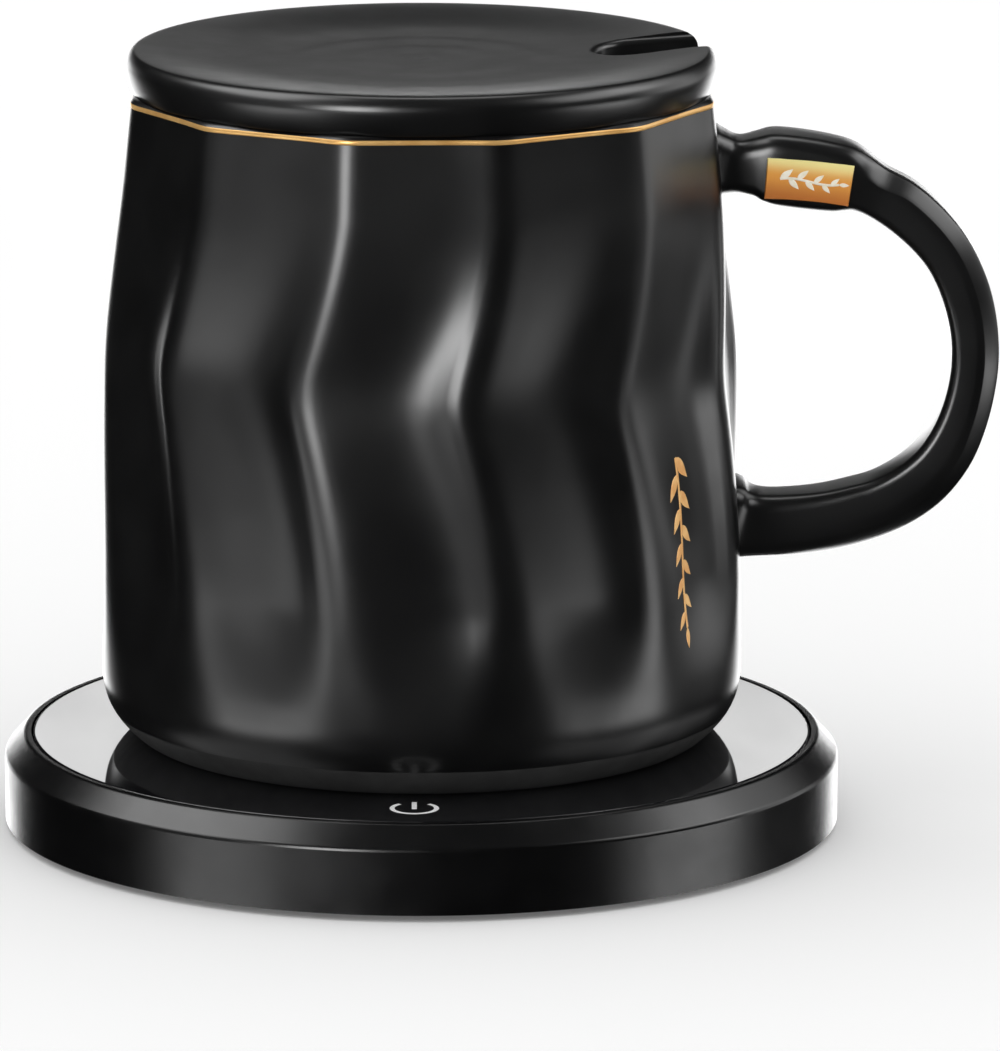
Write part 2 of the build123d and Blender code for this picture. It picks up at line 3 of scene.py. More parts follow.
import bmesh
import bpy
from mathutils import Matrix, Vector


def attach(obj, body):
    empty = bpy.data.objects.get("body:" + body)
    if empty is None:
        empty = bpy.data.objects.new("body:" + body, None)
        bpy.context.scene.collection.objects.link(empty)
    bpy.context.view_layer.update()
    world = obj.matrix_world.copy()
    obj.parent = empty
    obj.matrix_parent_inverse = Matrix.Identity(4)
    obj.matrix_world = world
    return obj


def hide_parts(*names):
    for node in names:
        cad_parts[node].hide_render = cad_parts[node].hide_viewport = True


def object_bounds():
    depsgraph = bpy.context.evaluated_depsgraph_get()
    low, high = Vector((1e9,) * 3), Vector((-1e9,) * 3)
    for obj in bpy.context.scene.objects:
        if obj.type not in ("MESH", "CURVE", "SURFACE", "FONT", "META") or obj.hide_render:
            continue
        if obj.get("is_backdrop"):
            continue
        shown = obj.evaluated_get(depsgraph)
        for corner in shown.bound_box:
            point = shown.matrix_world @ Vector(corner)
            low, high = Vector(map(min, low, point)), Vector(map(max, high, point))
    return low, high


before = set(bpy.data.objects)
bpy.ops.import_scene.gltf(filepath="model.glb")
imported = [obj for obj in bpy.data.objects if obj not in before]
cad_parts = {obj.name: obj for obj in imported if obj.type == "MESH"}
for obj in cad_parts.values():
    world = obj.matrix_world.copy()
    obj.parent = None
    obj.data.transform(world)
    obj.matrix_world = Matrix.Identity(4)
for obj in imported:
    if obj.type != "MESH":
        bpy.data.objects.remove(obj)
cad_low, cad_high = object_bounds()
mm = 0.001


# -------------------- housing
# A ring-shaped casing moulded in black ABS with a fine spark-eroded grain.
# Its bevelled shoulder ends in a flat lip that stands round the glass, and
# the screw bosses and the hole for the inlet are moulded in.


class Reading:
    """A value in a node tree that sums can be written with."""

    def __init__(self, tree, socket):
        self.tree = tree
        self.socket = socket

    def through(self, operation, *others):
        """The value after this operation, with the others that it needs."""
        values = dict(enumerate((self, *others)))
        node = tree_node(self.tree, "ShaderNodeMath", values, operation=operation)
        return Reading(self.tree, node.outputs[0])

    def __add__(self, other):
        return self.through("ADD", other)

    def __sub__(self, other):
        return self.through("SUBTRACT", other)

    def __mul__(self, other):
        return self.through("MULTIPLY", other)

    def __truediv__(self, other):
        return self.through("DIVIDE", other)

    def __pow__(self, other):
        return self.through("POWER", other)

    def __neg__(self):
        return self * -1.0

    def taken_from(self, other):
        return -self + other

    def least(self, other):
        return self.through("MINIMUM", other)

    def most(self, other):
        return self.through("MAXIMUM", other)

    def above(self, other):
        return self.through("GREATER_THAN", other)

    def ramp(self, low, high, start=0.0, end=1.0):
        """Eases from start to end while the value goes from low to high."""
        ends = {"Value": self, "From Min": low, "From Max": high, "To Min": start, "To Max": end}
        node = tree_node(self.tree, "ShaderNodeMapRange", ends, interpolation_type="SMOOTHSTEP")
        return Reading(self.tree, node.outputs["Result"])


def tree_node(tree, kind, links=None, **settings):
    """Adds a node, sets it and links its inputs to sockets or plain values."""
    node = tree.nodes.new(kind)
    for name, value in settings.items():
        setattr(node, name, value)
    for name, value in (links or {}).items():
        if isinstance(value, Reading):
            value = value.socket
        if isinstance(value, bpy.types.NodeSocket):
            tree.links.new(value, node.inputs[name])
        else:
            node.inputs[name].default_value = value
    return node


def new_finish(name, **even):
    """A material whose sockets that are the same all over are set at once."""
    material = bpy.data.materials.new(name)
    material.use_nodes = True
    tree = material.node_tree
    shader = tree.nodes["Principled BSDF"]
    for socket, value in even.items():
        shader.inputs[socket.replace("_", " ")].default_value = value
    return material, tree, shader


def own_place(tree):
    """The place on the piece, in metres, in the piece's own coordinates."""
    return tree.nodes.new("ShaderNodeTexCoord").outputs["Object"]


def speckle(tree, size, detail=2.0, stretch=(1.0, 1.0, 1.0)):
    """Soft noise whose patches are about this size in metres."""
    scale = tuple(1.0 / (size * way) for way in stretch)
    place = tree_node(tree, "ShaderNodeMapping", {"Vector": own_place(tree), "Scale": scale})
    noise = tree_node(tree, "ShaderNodeTexNoise", {
        "Vector": place.outputs[0], "Scale": 1.0, "Detail": detail})
    return Reading(tree, noise.outputs[0])


def between(tree, part, first, second):
    """A colour part of the way from the first to the second."""
    first, second = (
        colour if isinstance(colour, bpy.types.NodeSocket) else (*colour, 1.0)
        for colour in (first, second))
    mix = tree_node(tree, "ShaderNodeMix", {"Factor": part, 6: first, 7: second}, data_type="RGBA")
    return mix.outputs[2]


def colour_and_gloss(tree, shader, part, dark, light, rough):
    """Colours a finish part of the way from dark to light, and sets its roughness."""
    tree.links.new(between(tree, part, dark, light), shader.inputs["Base Color"])
    tree.links.new(rough.socket, shader.inputs["Roughness"])


def raise_grain(tree, shader, height, depth):
    """Lets a height between 0 and 1 dent the surface by this depth in metres."""
    bump = tree_node(tree, "ShaderNodeBump", {"Height": height, "Distance": depth, "Strength": 1.0})
    tree.links.new(bump.outputs[0], shader.inputs["Normal"])


def plain_finish(name, dark, light, patch, rough, grain, depth, **even):
    """A finish with patchy colour and gloss and a fine grain."""
    material, tree, shader = new_finish(name, **even)
    gloss_patch = patch * 0.6
    colour_and_gloss(
        tree, shader, speckle(tree, patch, 3.0).ramp(0.3, 0.7), dark, light,
        speckle(tree, gloss_patch, 4.0).ramp(0.25, 0.75, *rough))
    raise_grain(tree, shader, speckle(tree, grain, 3.0), depth)
    return material


def dress(node, material):
    """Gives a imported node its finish."""
    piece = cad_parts[node]
    for place in piece.material_slots:
        place.material = material


housing_abs = plain_finish(
    "black grained ABS", (0.0015, 0.0015, 0.0017), (0.003, 0.003, 0.0032),
    patch=9 * mm, rough=(0.22, 0.27), grain=0.16 * mm, depth=0.012 * mm,
)
dress("upper_housing", housing_abs)


# -------------------- underside
# A flat cover of the same black ABS closes the casing, four steel screws
# hold it and a ring of grey rubber in its groove keeps the warmer in place.

cover_abs = plain_finish(
    "black cover ABS", (0.014, 0.014, 0.014), (0.024, 0.024, 0.024),
    patch=12 * mm, rough=(0.45, 0.6), grain=0.3 * mm, depth=0.03 * mm,
)
dress("bottom_cover", cover_abs)
foot_rubber = plain_finish(
    "grey foot rubber", (0.07, 0.07, 0.068), (0.11, 0.11, 0.105),
    patch=5 * mm, rough=(0.75, 0.92), grain=0.2 * mm, depth=0.03 * mm,
)
dress("anti_slip_ring", foot_rubber)
screw_zinc = plain_finish(
    "zinc plated steel", (0.42, 0.43, 0.44), (0.62, 0.62, 0.6),
    patch=1.2 * mm, rough=(0.25, 0.42), grain=0.1 * mm, depth=0.01 * mm, Metallic=1.0,
)
for screws in ("cover_screws", "retainer_screws", "board_screws"):
    dress(screws, screw_zinc)


# -------------------- inside
# The heater stack under the glass, the control board with its parts, the
# lamps and the sensing coil behind the touch mark, the leads and the barrel
# inlet in the rear wall. Each is of its usual stock material.

metal = {"Metallic": 1.0}
clear = {"Transmission_Weight": 0.9}
# darker tone, lighter tone, patch in mm, least and most roughness, grain in mm
inner_finishes = {
    "glass_adhesive_ring": ((0.02, 0.02, 0.02), (0.05, 0.05, 0.05), 3, (0.8, 0.95), 0.3, {}),
    "thermal_pad": ((0.3, 0.33, 0.36), (0.4, 0.43, 0.45), 6, (0.6, 0.8), 0.4, {}),
    "heater_plate": ((0.6, 0.61, 0.62), (0.75, 0.75, 0.76), 8, (0.3, 0.45), 0.2, metal),
    "heater_film": ((0.45, 0.2, 0.04), (0.62, 0.3, 0.07), 5, (0.2, 0.35), 0.3, {}),
    "insulation_pad": ((0.72, 0.7, 0.64), (0.86, 0.84, 0.79), 2, (0.85, 0.97), 0.3, {}),
    "heater_retainer": ((0.5, 0.52, 0.54), (0.68, 0.69, 0.7), 4, (0.3, 0.5), 0.5, metal),
    "thermistor": ((0.015, 0.015, 0.02), (0.03, 0.03, 0.035), 1, (0.2, 0.4), 0.1, {}),
    "thermal_fuse": ((0.78, 0.77, 0.73), (0.88, 0.87, 0.84), 1, (0.4, 0.6), 0.1, {}),
    "control_board": ((0.01, 0.12, 0.05), (0.015, 0.17, 0.07), 3, (0.25, 0.4), 0.2, {}),
    "controller_chip": ((0.02, 0.02, 0.02), (0.035, 0.035, 0.035), 1, (0.5, 0.65), 0.05, {}),
    "power_transistor": ((0.02, 0.02, 0.02), (0.04, 0.04, 0.04), 1, (0.5, 0.65), 0.05, {}),
    "board_capacitors": ((0.5, 0.36, 0.22), (0.62, 0.46, 0.3), 1, (0.4, 0.55), 0.05, {}),
    "heater_connector": ((0.75, 0.74, 0.7), (0.85, 0.84, 0.8), 2, (0.4, 0.55), 0.1, {}),
    "sensor_connector": ((0.75, 0.74, 0.7), (0.85, 0.84, 0.8), 2, (0.4, 0.55), 0.1, {}),
    "touch_spring": ((0.5, 0.5, 0.5), (0.66, 0.66, 0.65), 1, (0.2, 0.35), 0.05, metal),
    "light_guide": ((0.8, 0.83, 0.85), (0.9, 0.92, 0.93), 1, (0.05, 0.15), 0.1, clear),
    "symbol_lamps": ((0.8, 0.8, 0.76), (0.92, 0.92, 0.88), 0.5, (0.3, 0.45), 0.05, {}),
    "inlet_housing": ((0.012, 0.012, 0.012), (0.025, 0.025, 0.025), 2, (0.4, 0.55), 0.1, {}),
    "inlet_pin": ((0.6, 0.58, 0.52), (0.74, 0.72, 0.66), 1, (0.15, 0.3), 0.05, metal),
    "inlet_sleeve_contact": ((0.6, 0.42, 0.14), (0.75, 0.55, 0.22), 1, (0.2, 0.35), 0.05, metal),
    "inlet_leads": ((0.03, 0.03, 0.03), (0.06, 0.06, 0.06), 2, (0.5, 0.7), 0.1, {}),
    "heater_leads": ((0.5, 0.05, 0.04), (0.65, 0.08, 0.06), 2, (0.5, 0.7), 0.1, {}),
    "sensor_leads": ((0.6, 0.58, 0.55), (0.75, 0.73, 0.7), 2, (0.5, 0.7), 0.1, {}),
}
grain_depth = 0.1
for node, (dark, light, patch, rough, grain, even) in inner_finishes.items():
    dress(node, plain_finish(
        node.replace("_", " ") + " stock", dark, light, patch * mm, rough, grain * mm,
        grain * grain_depth * mm, **even))


# -------------------- glass
# A disc of tempered glass, printed black on its underside, that lies on a
# foam ring inside the lip. It is the warming surface.

glass_black, glass_tree, glass_shader = new_finish(
    "black backed glass", Coat_Weight=1.0, Coat_Roughness=0.02, Coat_IOR=1.5, IOR=1.5)
colour_and_gloss(
    glass_tree, glass_shader, speckle(glass_tree, 20 * mm).ramp(0.3, 0.7),
    (0.004, 0.004, 0.005), (0.007, 0.007, 0.008),
    speckle(glass_tree, 14 * mm, 4.0, (1.0, 3.0, 1.0)).ramp(0.2, 0.8, 0.05, 0.1))
dress("glass_panel", glass_black)

key_mark = plain_finish(
    "lit key mark", (0.8, 0.8, 0.8), (0.92, 0.92, 0.92), 1 * mm, (0.35, 0.5), 0.1 * mm, 0.004 * mm,
    Emission_Color=(1.0, 1.0, 1.0, 1.0), Emission_Strength=0.1)
dress("power_symbol", key_mark)


# -------------------- mug
# Slip-cast stoneware under a satin black glaze. Twelve ridges run up the
# wall: they lean one way to a kink, then the other, and melt into the round
# foot. The facets between them are slightly scooped.

foot = 13.4 * mm
mug_high = 93.5 * mm
ridge_count = 12
first_ridge = 15
# degrees past a ridge: the columns crowd where the wall is rounded
column_steps = (0.0, 0.35, 0.8, 1.5, 2.6, 4.2, 6.4, 9.2, 12.2,
                15.0, 17.8, 20.8, 23.6, 25.8, 27.4, 28.5, 29.2, 29.65)
columns = [
    ridge * 360 / ridge_count + first_ridge + step
    for ridge in range(ridge_count) for step in column_steps]


def turned(name, outline, angles, closed=False):
    """Turns an outline of (radius, height) points round the upright axis."""
    points = []
    rings = []
    for radius, height in outline:
        if radius == 0.0:
            rings.append([len(points)] * len(angles))
            points.append((0.0, 0.0, height))
        else:
            rings.append(list(range(len(points), len(points) + len(angles))))
            for angle in angles:
                turn = math.radians(angle)
                points.append((radius * math.cos(turn), radius * math.sin(turn), height))
    faces = []
    count = len(angles)
    pairs = list(zip(rings, rings[1:]))
    if closed:
        pairs.append((rings[-1], rings[0]))
    for low, high in pairs:
        for here in range(count):
            after = (here + 1) % count
            corners = []
            for corner in (low[here], low[after], high[after], high[here]):
                if corner not in corners:
                    corners.append(corner)
            faces.append(corners)
    piece = new_piece(name, points, faces)
    piece.data.shade_smooth()
    return piece, rings


def new_piece(name, points=(), faces=()):
    """A piece of these points and faces, put into the scene."""
    mesh = bpy.data.meshes.new(name)
    mesh.from_pydata(points, [], faces)
    piece = bpy.data.objects.new(name, mesh)
    bpy.context.scene.collection.objects.link(piece)
    return piece


def mark_points(piece, name, values):
    """Keeps one number for each point of the mesh under this name."""
    kept = piece.data.attributes.new(name, "FLOAT", "POINT")
    kept.data.foreach_set("value", values)


def shape_tree(name, start, sockets):
    """A tree of geometry nodes with these named inputs, and what they give."""
    tree = bpy.data.node_groups.new(name, "GeometryNodeTree")
    tree.is_modifier = True
    tree.interface.new_socket(start, in_out="INPUT", socket_type="NodeSocketGeometry")
    tree.interface.new_socket("Mesh", in_out="OUTPUT", socket_type="NodeSocketGeometry")
    for socket, kind in sockets.items():
        tree.interface.new_socket(socket, in_out="INPUT", socket_type=kind)
    inlet = tree.nodes.new("NodeGroupInput")
    return tree, {socket.name: Reading(tree, socket) for socket in inlet.outputs if socket.name}


facet_sizes = {
    "Shoulder radius": 45.8 * mm,
    "Shoulder level": 11.2 * mm,
    "Neck draw-in": 4.7 * mm,
    "Neck curve": 1.9,
    "Foot draw-in": 5.3 * mm,
    "Foot curve": 2.8,
    "Mug height": mug_high,
    "Ridges": float(ridge_count),
    "Rim roundness": 0.19,
    "Foot roundness": 0.8,
    "Roundness curve": 3.8,
    "Most roundness": 0.97,
    "Kink level": 56.6 * mm,
    "Kink fall": 2.0 * mm,
    "Lean": 8.0,
    "Lean below": 31 * mm,
    "Lean curve below": 1.5,
    "Lean above": 25 * mm,
    "Lean curve above": 1.35,
    "Kink softness": 0.6,
    "Scoop": 1.3 * mm,
    "Scoop skew": 1.6,
    "Scoop start": 12 * mm,
    "Scoop full": 27 * mm,
    "Scoop top": 84 * mm,
    "Rim scoop": 0.15,
    "Ridge softness": 0.15,
    "Turn": 0.6,
    "Foot level": foot,
    "Foot band": 4.1 * mm,
}
facet_tree, given = shape_tree("faceted wall", "Mesh", {
    **{size: "NodeSocketFloat" for size in facet_sizes},
    "Glaze": "NodeSocketMaterial", "Bare clay and painted reflection": "NodeSocketMaterial"})


def kept_number(tree, name):
    """A number that the mesh keeps for each point."""
    node = tree_node(tree, "GeometryNodeInputNamedAttribute", {"Name": name})
    return Reading(tree, node.outputs["Attribute"])


around = kept_number(facet_tree, "around")
inset = kept_number(facet_tree, "inset")
on_wall = kept_number(facet_tree, "on wall")
plain_place = tree_node(facet_tree, "GeometryNodeInputPosition").outputs[0]
split = tree_node(facet_tree, "ShaderNodeSeparateXYZ", {0: plain_place})
plain_x, plain_y, plain_z = (Reading(facet_tree, split.outputs[axis]) for axis in "XYZ")
level = plain_z - given["Foot level"]

# the round form: drawn in to the neck above the shoulder, and to the foot below it
over = (level - given["Shoulder level"]).most(0.0) / (given["Mug height"] - given["Shoulder level"])
under = (given["Shoulder level"] - level).most(0.0) / given["Shoulder level"]
neck = given["Neck draw-in"] * over ** given["Neck curve"]
flat_radius = given["Shoulder radius"] - neck - given["Foot draw-in"] * under ** given["Foot curve"]
rounding = (level / given["Mug height"]).taken_from(1.0).most(0.0) ** given["Roundness curve"]
rounding = (rounding * given["Foot roundness"] + given["Rim roundness"]).least(given["Most roundness"])

# how far the ridges lean: most at the kink, whose level falls a little towards the handle
turn_radians = math.pi / 180
kink_here = given["Kink level"] - given["Kink fall"] * (around * turn_radians).through("COSINE")
lean_low = ((level - kink_here) / given["Lean below"] + 1.0).most(0.0) ** given["Lean curve below"]
lean_high = ((kink_here - level) / given["Lean above"] + 1.0).most(0.0) ** given["Lean curve above"]
lean = given["Lean"] * lean_low.through("SMOOTH_MIN", lean_high, given["Kink softness"])

# a flat facet, whose ends run into an arc round each ridge
facet_angle = (given["Ridges"] ** -1.0) * 360.0
half_angle = facet_angle * 0.5
from_middle = (around + half_angle).through("WRAP", facet_angle, 0.0) - half_angle
away = (from_middle.through("ABSOLUTE")) * turn_radians
half_turn = half_angle * turn_radians
on_flat = flat_radius / away.through("COSINE")
arc_centre = rounding.taken_from(1.0) * flat_radius / half_turn.through("COSINE")
arc_radius = rounding * flat_radius
from_ridge = half_turn - away
arc_rise = arc_radius * arc_radius - (arc_centre * from_ridge.through("SINE")) ** 2.0
on_arc = arc_centre * from_ridge.through("COSINE") + arc_rise.most(0.0).through("SQRT")
is_arc = away.through("TANGENT").above(rounding.taken_from(1.0) * half_turn.through("TANGENT"))
wall = on_flat + (on_arc - on_flat) * is_arc

# the scoop, deepest on the far side of the facet and gone at the foot
across = (from_middle / half_angle + 1.0) * 0.5
ridge_near = (across.taken_from(1.0) / given["Ridge softness"]).most(0.0)
scoop_shape = ((across.most(0.0) ** given["Scoop skew"]) * math.pi).through("SINE").most(0.0)
scoop_shape = scoop_shape * (-(ridge_near * ridge_near)).through("EXPONENT").taken_from(1.0)
scoop_fade = level.ramp(given["Kink level"], given["Scoop top"], 1.0, given["Rim scoop"])
scoop_rise = level.ramp(given["Scoop start"], given["Scoop full"])
wall = wall - given["Scoop"] * scoop_shape * scoop_fade * scoop_rise - inset

heading = (around + (given["Turn"] - lean) * on_wall) * turn_radians
plain_radius = (plain_x * plain_x + plain_y * plain_y).through("SQRT")
radius = plain_radius + (wall - plain_radius) * on_wall
gather = tree_node(facet_tree, "ShaderNodeCombineXYZ", {
    "X": radius * heading.through("COSINE"), "Y": radius * heading.through("SINE"), "Z": plain_z})
move = tree_node(facet_tree, "GeometryNodeSetPosition", {
    "Geometry": given["Mesh"], "Position": gather.outputs[0]})
realize = tree_node(facet_tree, "GeometryNodeRealizeInstances", {0: move.outputs[0]})
glazed = tree_node(facet_tree, "GeometryNodeSetMaterial", {
    "Geometry": realize.outputs[0], "Material": given["Glaze"]})
# below the band's top the wall takes the bare stoneware: real bare clay, whose lighter grey is partly
# a painted reflection of the glass on the foot's rounding
bare = tree_node(facet_tree, "GeometryNodeSetMaterial", {
    "Geometry": glazed.outputs[0], "Material": given["Bare clay and painted reflection"],
    "Selection": (given["Foot band"] - level).above(0.0)})
tree_node(facet_tree, "NodeGroupOutput", {"Mesh": bare.outputs[0]})


def shaped(piece, tree, sizes, **others):
    """Runs a piece through a node tree and keeps the result as its plain mesh."""
    modifier = piece.modifiers.new("shape", "NODES")
    modifier.node_group = tree
    values = {**sizes, **others}
    for socket in tree.interface.items_tree:
        if socket.item_type == "SOCKET" and socket.in_out == "INPUT" and socket.name in values:
            modifier[socket.identifier] = values[socket.name]
    settled(piece)


def settled(piece):
    """Keeps what the modifiers make as the plain mesh, and takes them off."""
    seen = piece.evaluated_get(bpy.context.evaluated_depsgraph_get())
    mesh = bpy.data.meshes.new_from_object(seen)
    piece.modifiers.clear()
    piece.data = mesh


def faceted(name, rows, material, closed=False):
    """A turned piece whose wall follows the ridges.

    A row on the wall is (inset from the wall, level, True), any other (radius, level, False).
    """
    unshaped_radius = 40 * mm
    outline = [(unshaped_radius if wall else size, foot + height) for size, height, wall in rows]
    piece, rings = turned(name, outline, columns, closed)
    point_count = len(piece.data.vertices)
    kept = {number: [0.0] * point_count for number in ("around", "inset", "on wall")}
    for ring, (size, height, wall) in zip(rings, rows):
        for index, angle in zip(ring, columns):
            kept["around"][index] = angle
            kept["inset"][index] = size if wall else 0.0
            kept["on wall"][index] = 1.0 if wall else 0.0
    for number, values in kept.items():
        mark_points(piece, number, values)
    shaped(piece, facet_tree, facet_sizes, **{"Glaze": material, "Bare clay and painted reflection": bare_clay_and_reflection})
    for number in kept:
        if number in piece.data.attributes:
            piece.data.attributes.remove(piece.data.attributes[number])
    return piece


glaze, glaze_tree, glaze_shader = new_finish(
    "satin black glaze", IOR=1.5, Coat_Weight=0.3, Coat_Roughness=0.24, Coat_IOR=1.5)
colour_and_gloss(
    glaze_tree, glaze_shader, speckle(glaze_tree, 11 * mm, 3.0).ramp(0.3, 0.7),
    (0.003, 0.003, 0.0032), (0.0055, 0.0055, 0.0057),
    speckle(glaze_tree, 6 * mm, 4.0).ramp(0.25, 0.75, 0.28, 0.32))
raise_grain(glaze_tree, glaze_shader, speckle(glaze_tree, 2.6 * mm, 0.0), 0.008 * mm)
# the bare foot, lighter than the glaze: partly the clay's own grey and partly a painted reflection of
# the glass on the foot's rounding
bare_clay_and_reflection = plain_finish(
    "bare black stoneware with painted reflection", (0.032, 0.032, 0.032), (0.041, 0.041, 0.041),
    patch=4 * mm, rough=(0.8, 0.92), grain=0.25 * mm, depth=0.01 * mm, Specular_IOR_Level=0.2)

# the recessed underside and the rounded foot, then the wall in even rows
wall_rows = [
    (0.0, 0.7 * mm, False), (34.6 * mm, 0.7 * mm, False), (34.9 * mm, 0.6 * mm, False),
    (35.0 * mm, 0.4 * mm, False), (35.1 * mm, 0.1 * mm, False), (35.4 * mm, 0.0, False),
    (0.8 * mm, 0.0, True), (0.35 * mm, 0.08 * mm, True), (0.1 * mm, 0.28 * mm, True),
    (0.0, 0.6 * mm, True), (0.0, 1.2 * mm, True), (0.0, 2.1 * mm, True)]
neck_low = 92.3 * mm
neck_high = 93.0 * mm
row_step = 0.9 * mm
least_row = 0.6 * mm
height = 3.2 * mm
while height < neck_low - least_row:
    wall_rows.append((0.0, height, True))
    height += row_step
# the seat of the gold line and the rounded lip
lip_low = 93.3 * mm
wall_rows += [
    (0.0, neck_low, True), (0.3 * mm, neck_low, True), (0.3 * mm, neck_high, True),
    (0.02 * mm, neck_high, True), (0.25 * mm, lip_low, True), (0.55 * mm, 93.46 * mm, True),
    (0.9 * mm, mug_high, True)]
wall_thick = 3.7 * mm


def bore_radius(height):
    """Radius of the inside at this height over the foot."""
    shoulder = facet_sizes["Shoulder level"]
    part_up = (height - shoulder) / (mug_high - shoulder)
    drawn_in = facet_sizes["Neck draw-in"] * part_up ** facet_sizes["Neck curve"]
    return facet_sizes["Shoulder radius"] - drawn_in - wall_thick


wall_rows += [
    (bore_radius(mug_high) + 0.5 * mm, mug_high, False),
    (bore_radius(lip_low) + 0.1 * mm, lip_low, False)]
for height in (92.8, 90, 84, 76, 66, 54, 40, 28, 20, 15.4):
    wall_rows.append((bore_radius(height * mm), height * mm, False))
# a quarter bend from the wall to the floor inside
floor_level = 6 * mm
bend = 9 * mm
wall_foot = bore_radius(floor_level + bend)
for turn in range(0, 91, 10):
    wall_rows.append((
        wall_foot - bend + bend * math.cos(math.radians(turn)),
        floor_level + bend - bend * math.sin(math.radians(turn)), False))
wall_rows += [(18 * mm, floor_level, False), (0.0, floor_level, False)]
mug = faceted("mug_with_handle", wall_rows, glaze)


# -------------------- handle
# Cast with the mug and joined to it by soft roots: a straight upper arm with
# a thick block on it, then a round loop whose outer edges are chamfered.

# all in mm: x, level over the foot, half thickness, half width, outer corner, its
# roundness (1 is a chamfer, 2 is round) and the inner corner
handle_stations = [
    (38.6, 83.3, 5.0, 6.3, 2.6, 2.0, 2.4),
    (41.2, 82.95, 4.9, 6.2, 2.6, 2.0, 2.4),
    (42.6, 82.8, 4.35, 5.6, 2.6, 2.0, 2.4),
    (43.8, 82.65, 3.95, 5.1, 2.6, 2.0, 2.2),
    (45.2, 82.56, 3.74, 4.95, 2.6, 2.0, 2.0),
    (46.6, 82.52, 3.98, 5.02, 2.6, 2.0, 1.9),
    (47.7, 82.52, 4.3, 5.18, 2.6, 2.0, 1.8),
    (48.8, 82.46, 4.72, 5.42, 2.6, 2.0, 1.6),
    (50.1, 82.36, 4.96, 5.62, 2.6, 2.0, 1.4),
    (51.8, 82.14, 5.06, 5.7, 2.6, 2.0, 1.3),
    (55.0, 81.72, 5.06, 5.7, 2.6, 2.0, 1.3),
    (58.3, 81.22, 4.9, 5.7, 2.6, 2.0, 1.3),
    (60.1, 80.86, 4.68, 5.62, 2.6, 1.9, 1.3),
    (61.5, 80.4, 4.3, 5.42, 2.6, 1.6, 1.4),
    (62.9, 79.78, 3.78, 5.18, 2.6, 1.25, 1.4),
    (64.96, 78.65, 3.46, 5.0, 2.5, 1.1, 1.4),
    (67.86, 77.0, 3.6, 5.0, 2.2, 1.1, 1.4),
    (70.48, 74.94, 3.6, 5.0, 2.2, 1.1, 1.4),
    (72.86, 72.58, 3.55, 5.0, 2.2, 1.1, 1.4),
    (74.89, 69.97, 3.5, 5.0, 2.2, 1.1, 1.4),
    (76.45, 67.11, 3.5, 5.0, 2.2, 1.1, 1.4),
    (77.65, 64.05, 3.5, 5.0, 2.2, 1.1, 1.4),
    (78.45, 60.93, 3.45, 5.0, 2.2, 1.1, 1.4),
    (78.9, 57.76, 3.4, 5.0, 2.2, 1.1, 1.4),
    (78.98, 54.48, 3.4, 5.0, 2.2, 1.1, 1.4),
    (78.67, 51.31, 3.4, 5.0, 2.2, 1.1, 1.4),
    (78.02, 48.1, 3.45, 5.0, 2.2, 1.1, 1.4),
    (77.03, 44.92, 3.55, 5.0, 2.2, 1.1, 1.4),
    (75.65, 41.81, 3.7, 5.0, 2.2, 1.1, 1.4),
    (73.77, 38.98, 3.8, 5.0, 2.2, 1.1, 1.4),
    (71.4, 36.55, 3.95, 5.0, 2.2, 1.15, 1.4),
    (68.58, 34.6, 4.05, 5.0, 2.3, 1.2, 1.5),
    (65.55, 33.13, 4.1, 5.0, 2.3, 1.3, 1.6),
    (62.33, 32.1, 4.25, 5.0, 2.4, 1.4, 1.7),
    (59.04, 31.28, 4.3, 5.0, 2.5, 1.6, 1.8),
    (55.6, 30.75, 4.35, 5.0, 2.6, 1.8, 2.0),
    (52.0, 30.45, 4.4, 5.05, 2.6, 2.0, 2.2),
    (49.4, 30.4, 4.45, 5.2, 2.6, 2.0, 2.4),
    (47.4, 30.5, 4.6, 5.5, 2.6, 2.0, 2.4),
    (45.9, 30.7, 5.0, 6.0, 2.8, 2.0, 2.6),
    (44.8, 30.9, 5.6, 6.7, 2.8, 2.0, 2.6),
    (43.0, 31.0, 6.0, 7.2, 2.8, 2.0, 2.6),
    (40.5, 31.0, 6.0, 7.2, 2.8, 2.0, 2.6),
]


def eased_between(rows, steps):
    """Rows of numbers with this many steps between each two, on a smooth line through all."""
    result = []
    for here in range(len(rows) - 1):
        before = rows[max(here - 1, 0)]
        first, second = rows[here], rows[here + 1]
        after = rows[min(here + 2, len(rows) - 1)]
        for step in range(steps):
            s = step / steps
            result.append(tuple(
                0.5 * (2 * b + (c - a) * s + (2 * a - 5 * b + 4 * c - d) * s * s
                       + (3 * b - a - 3 * c + d) * s ** 3)
                for a, b, c, d in zip(before, first, second, after)))
    result.append(rows[-1])
    return result


def corner_points(length_out, length_side, roundness, steps=6):
    """A corner's points from the face to the side, as steps back from the full corner."""
    points = []
    for step in range(steps + 1):
        turn = math.radians(90 * step / steps)
        points.append((
            -length_out * (1 - max(math.cos(turn), 0.0) ** (2 / roundness)),
            -length_side * (1 - max(math.sin(turn), 0.0) ** (2 / roundness))))
    return points


def mirrored(points):
    """The same points of a section on its other side."""
    return [(out, -side) for out, side in points]


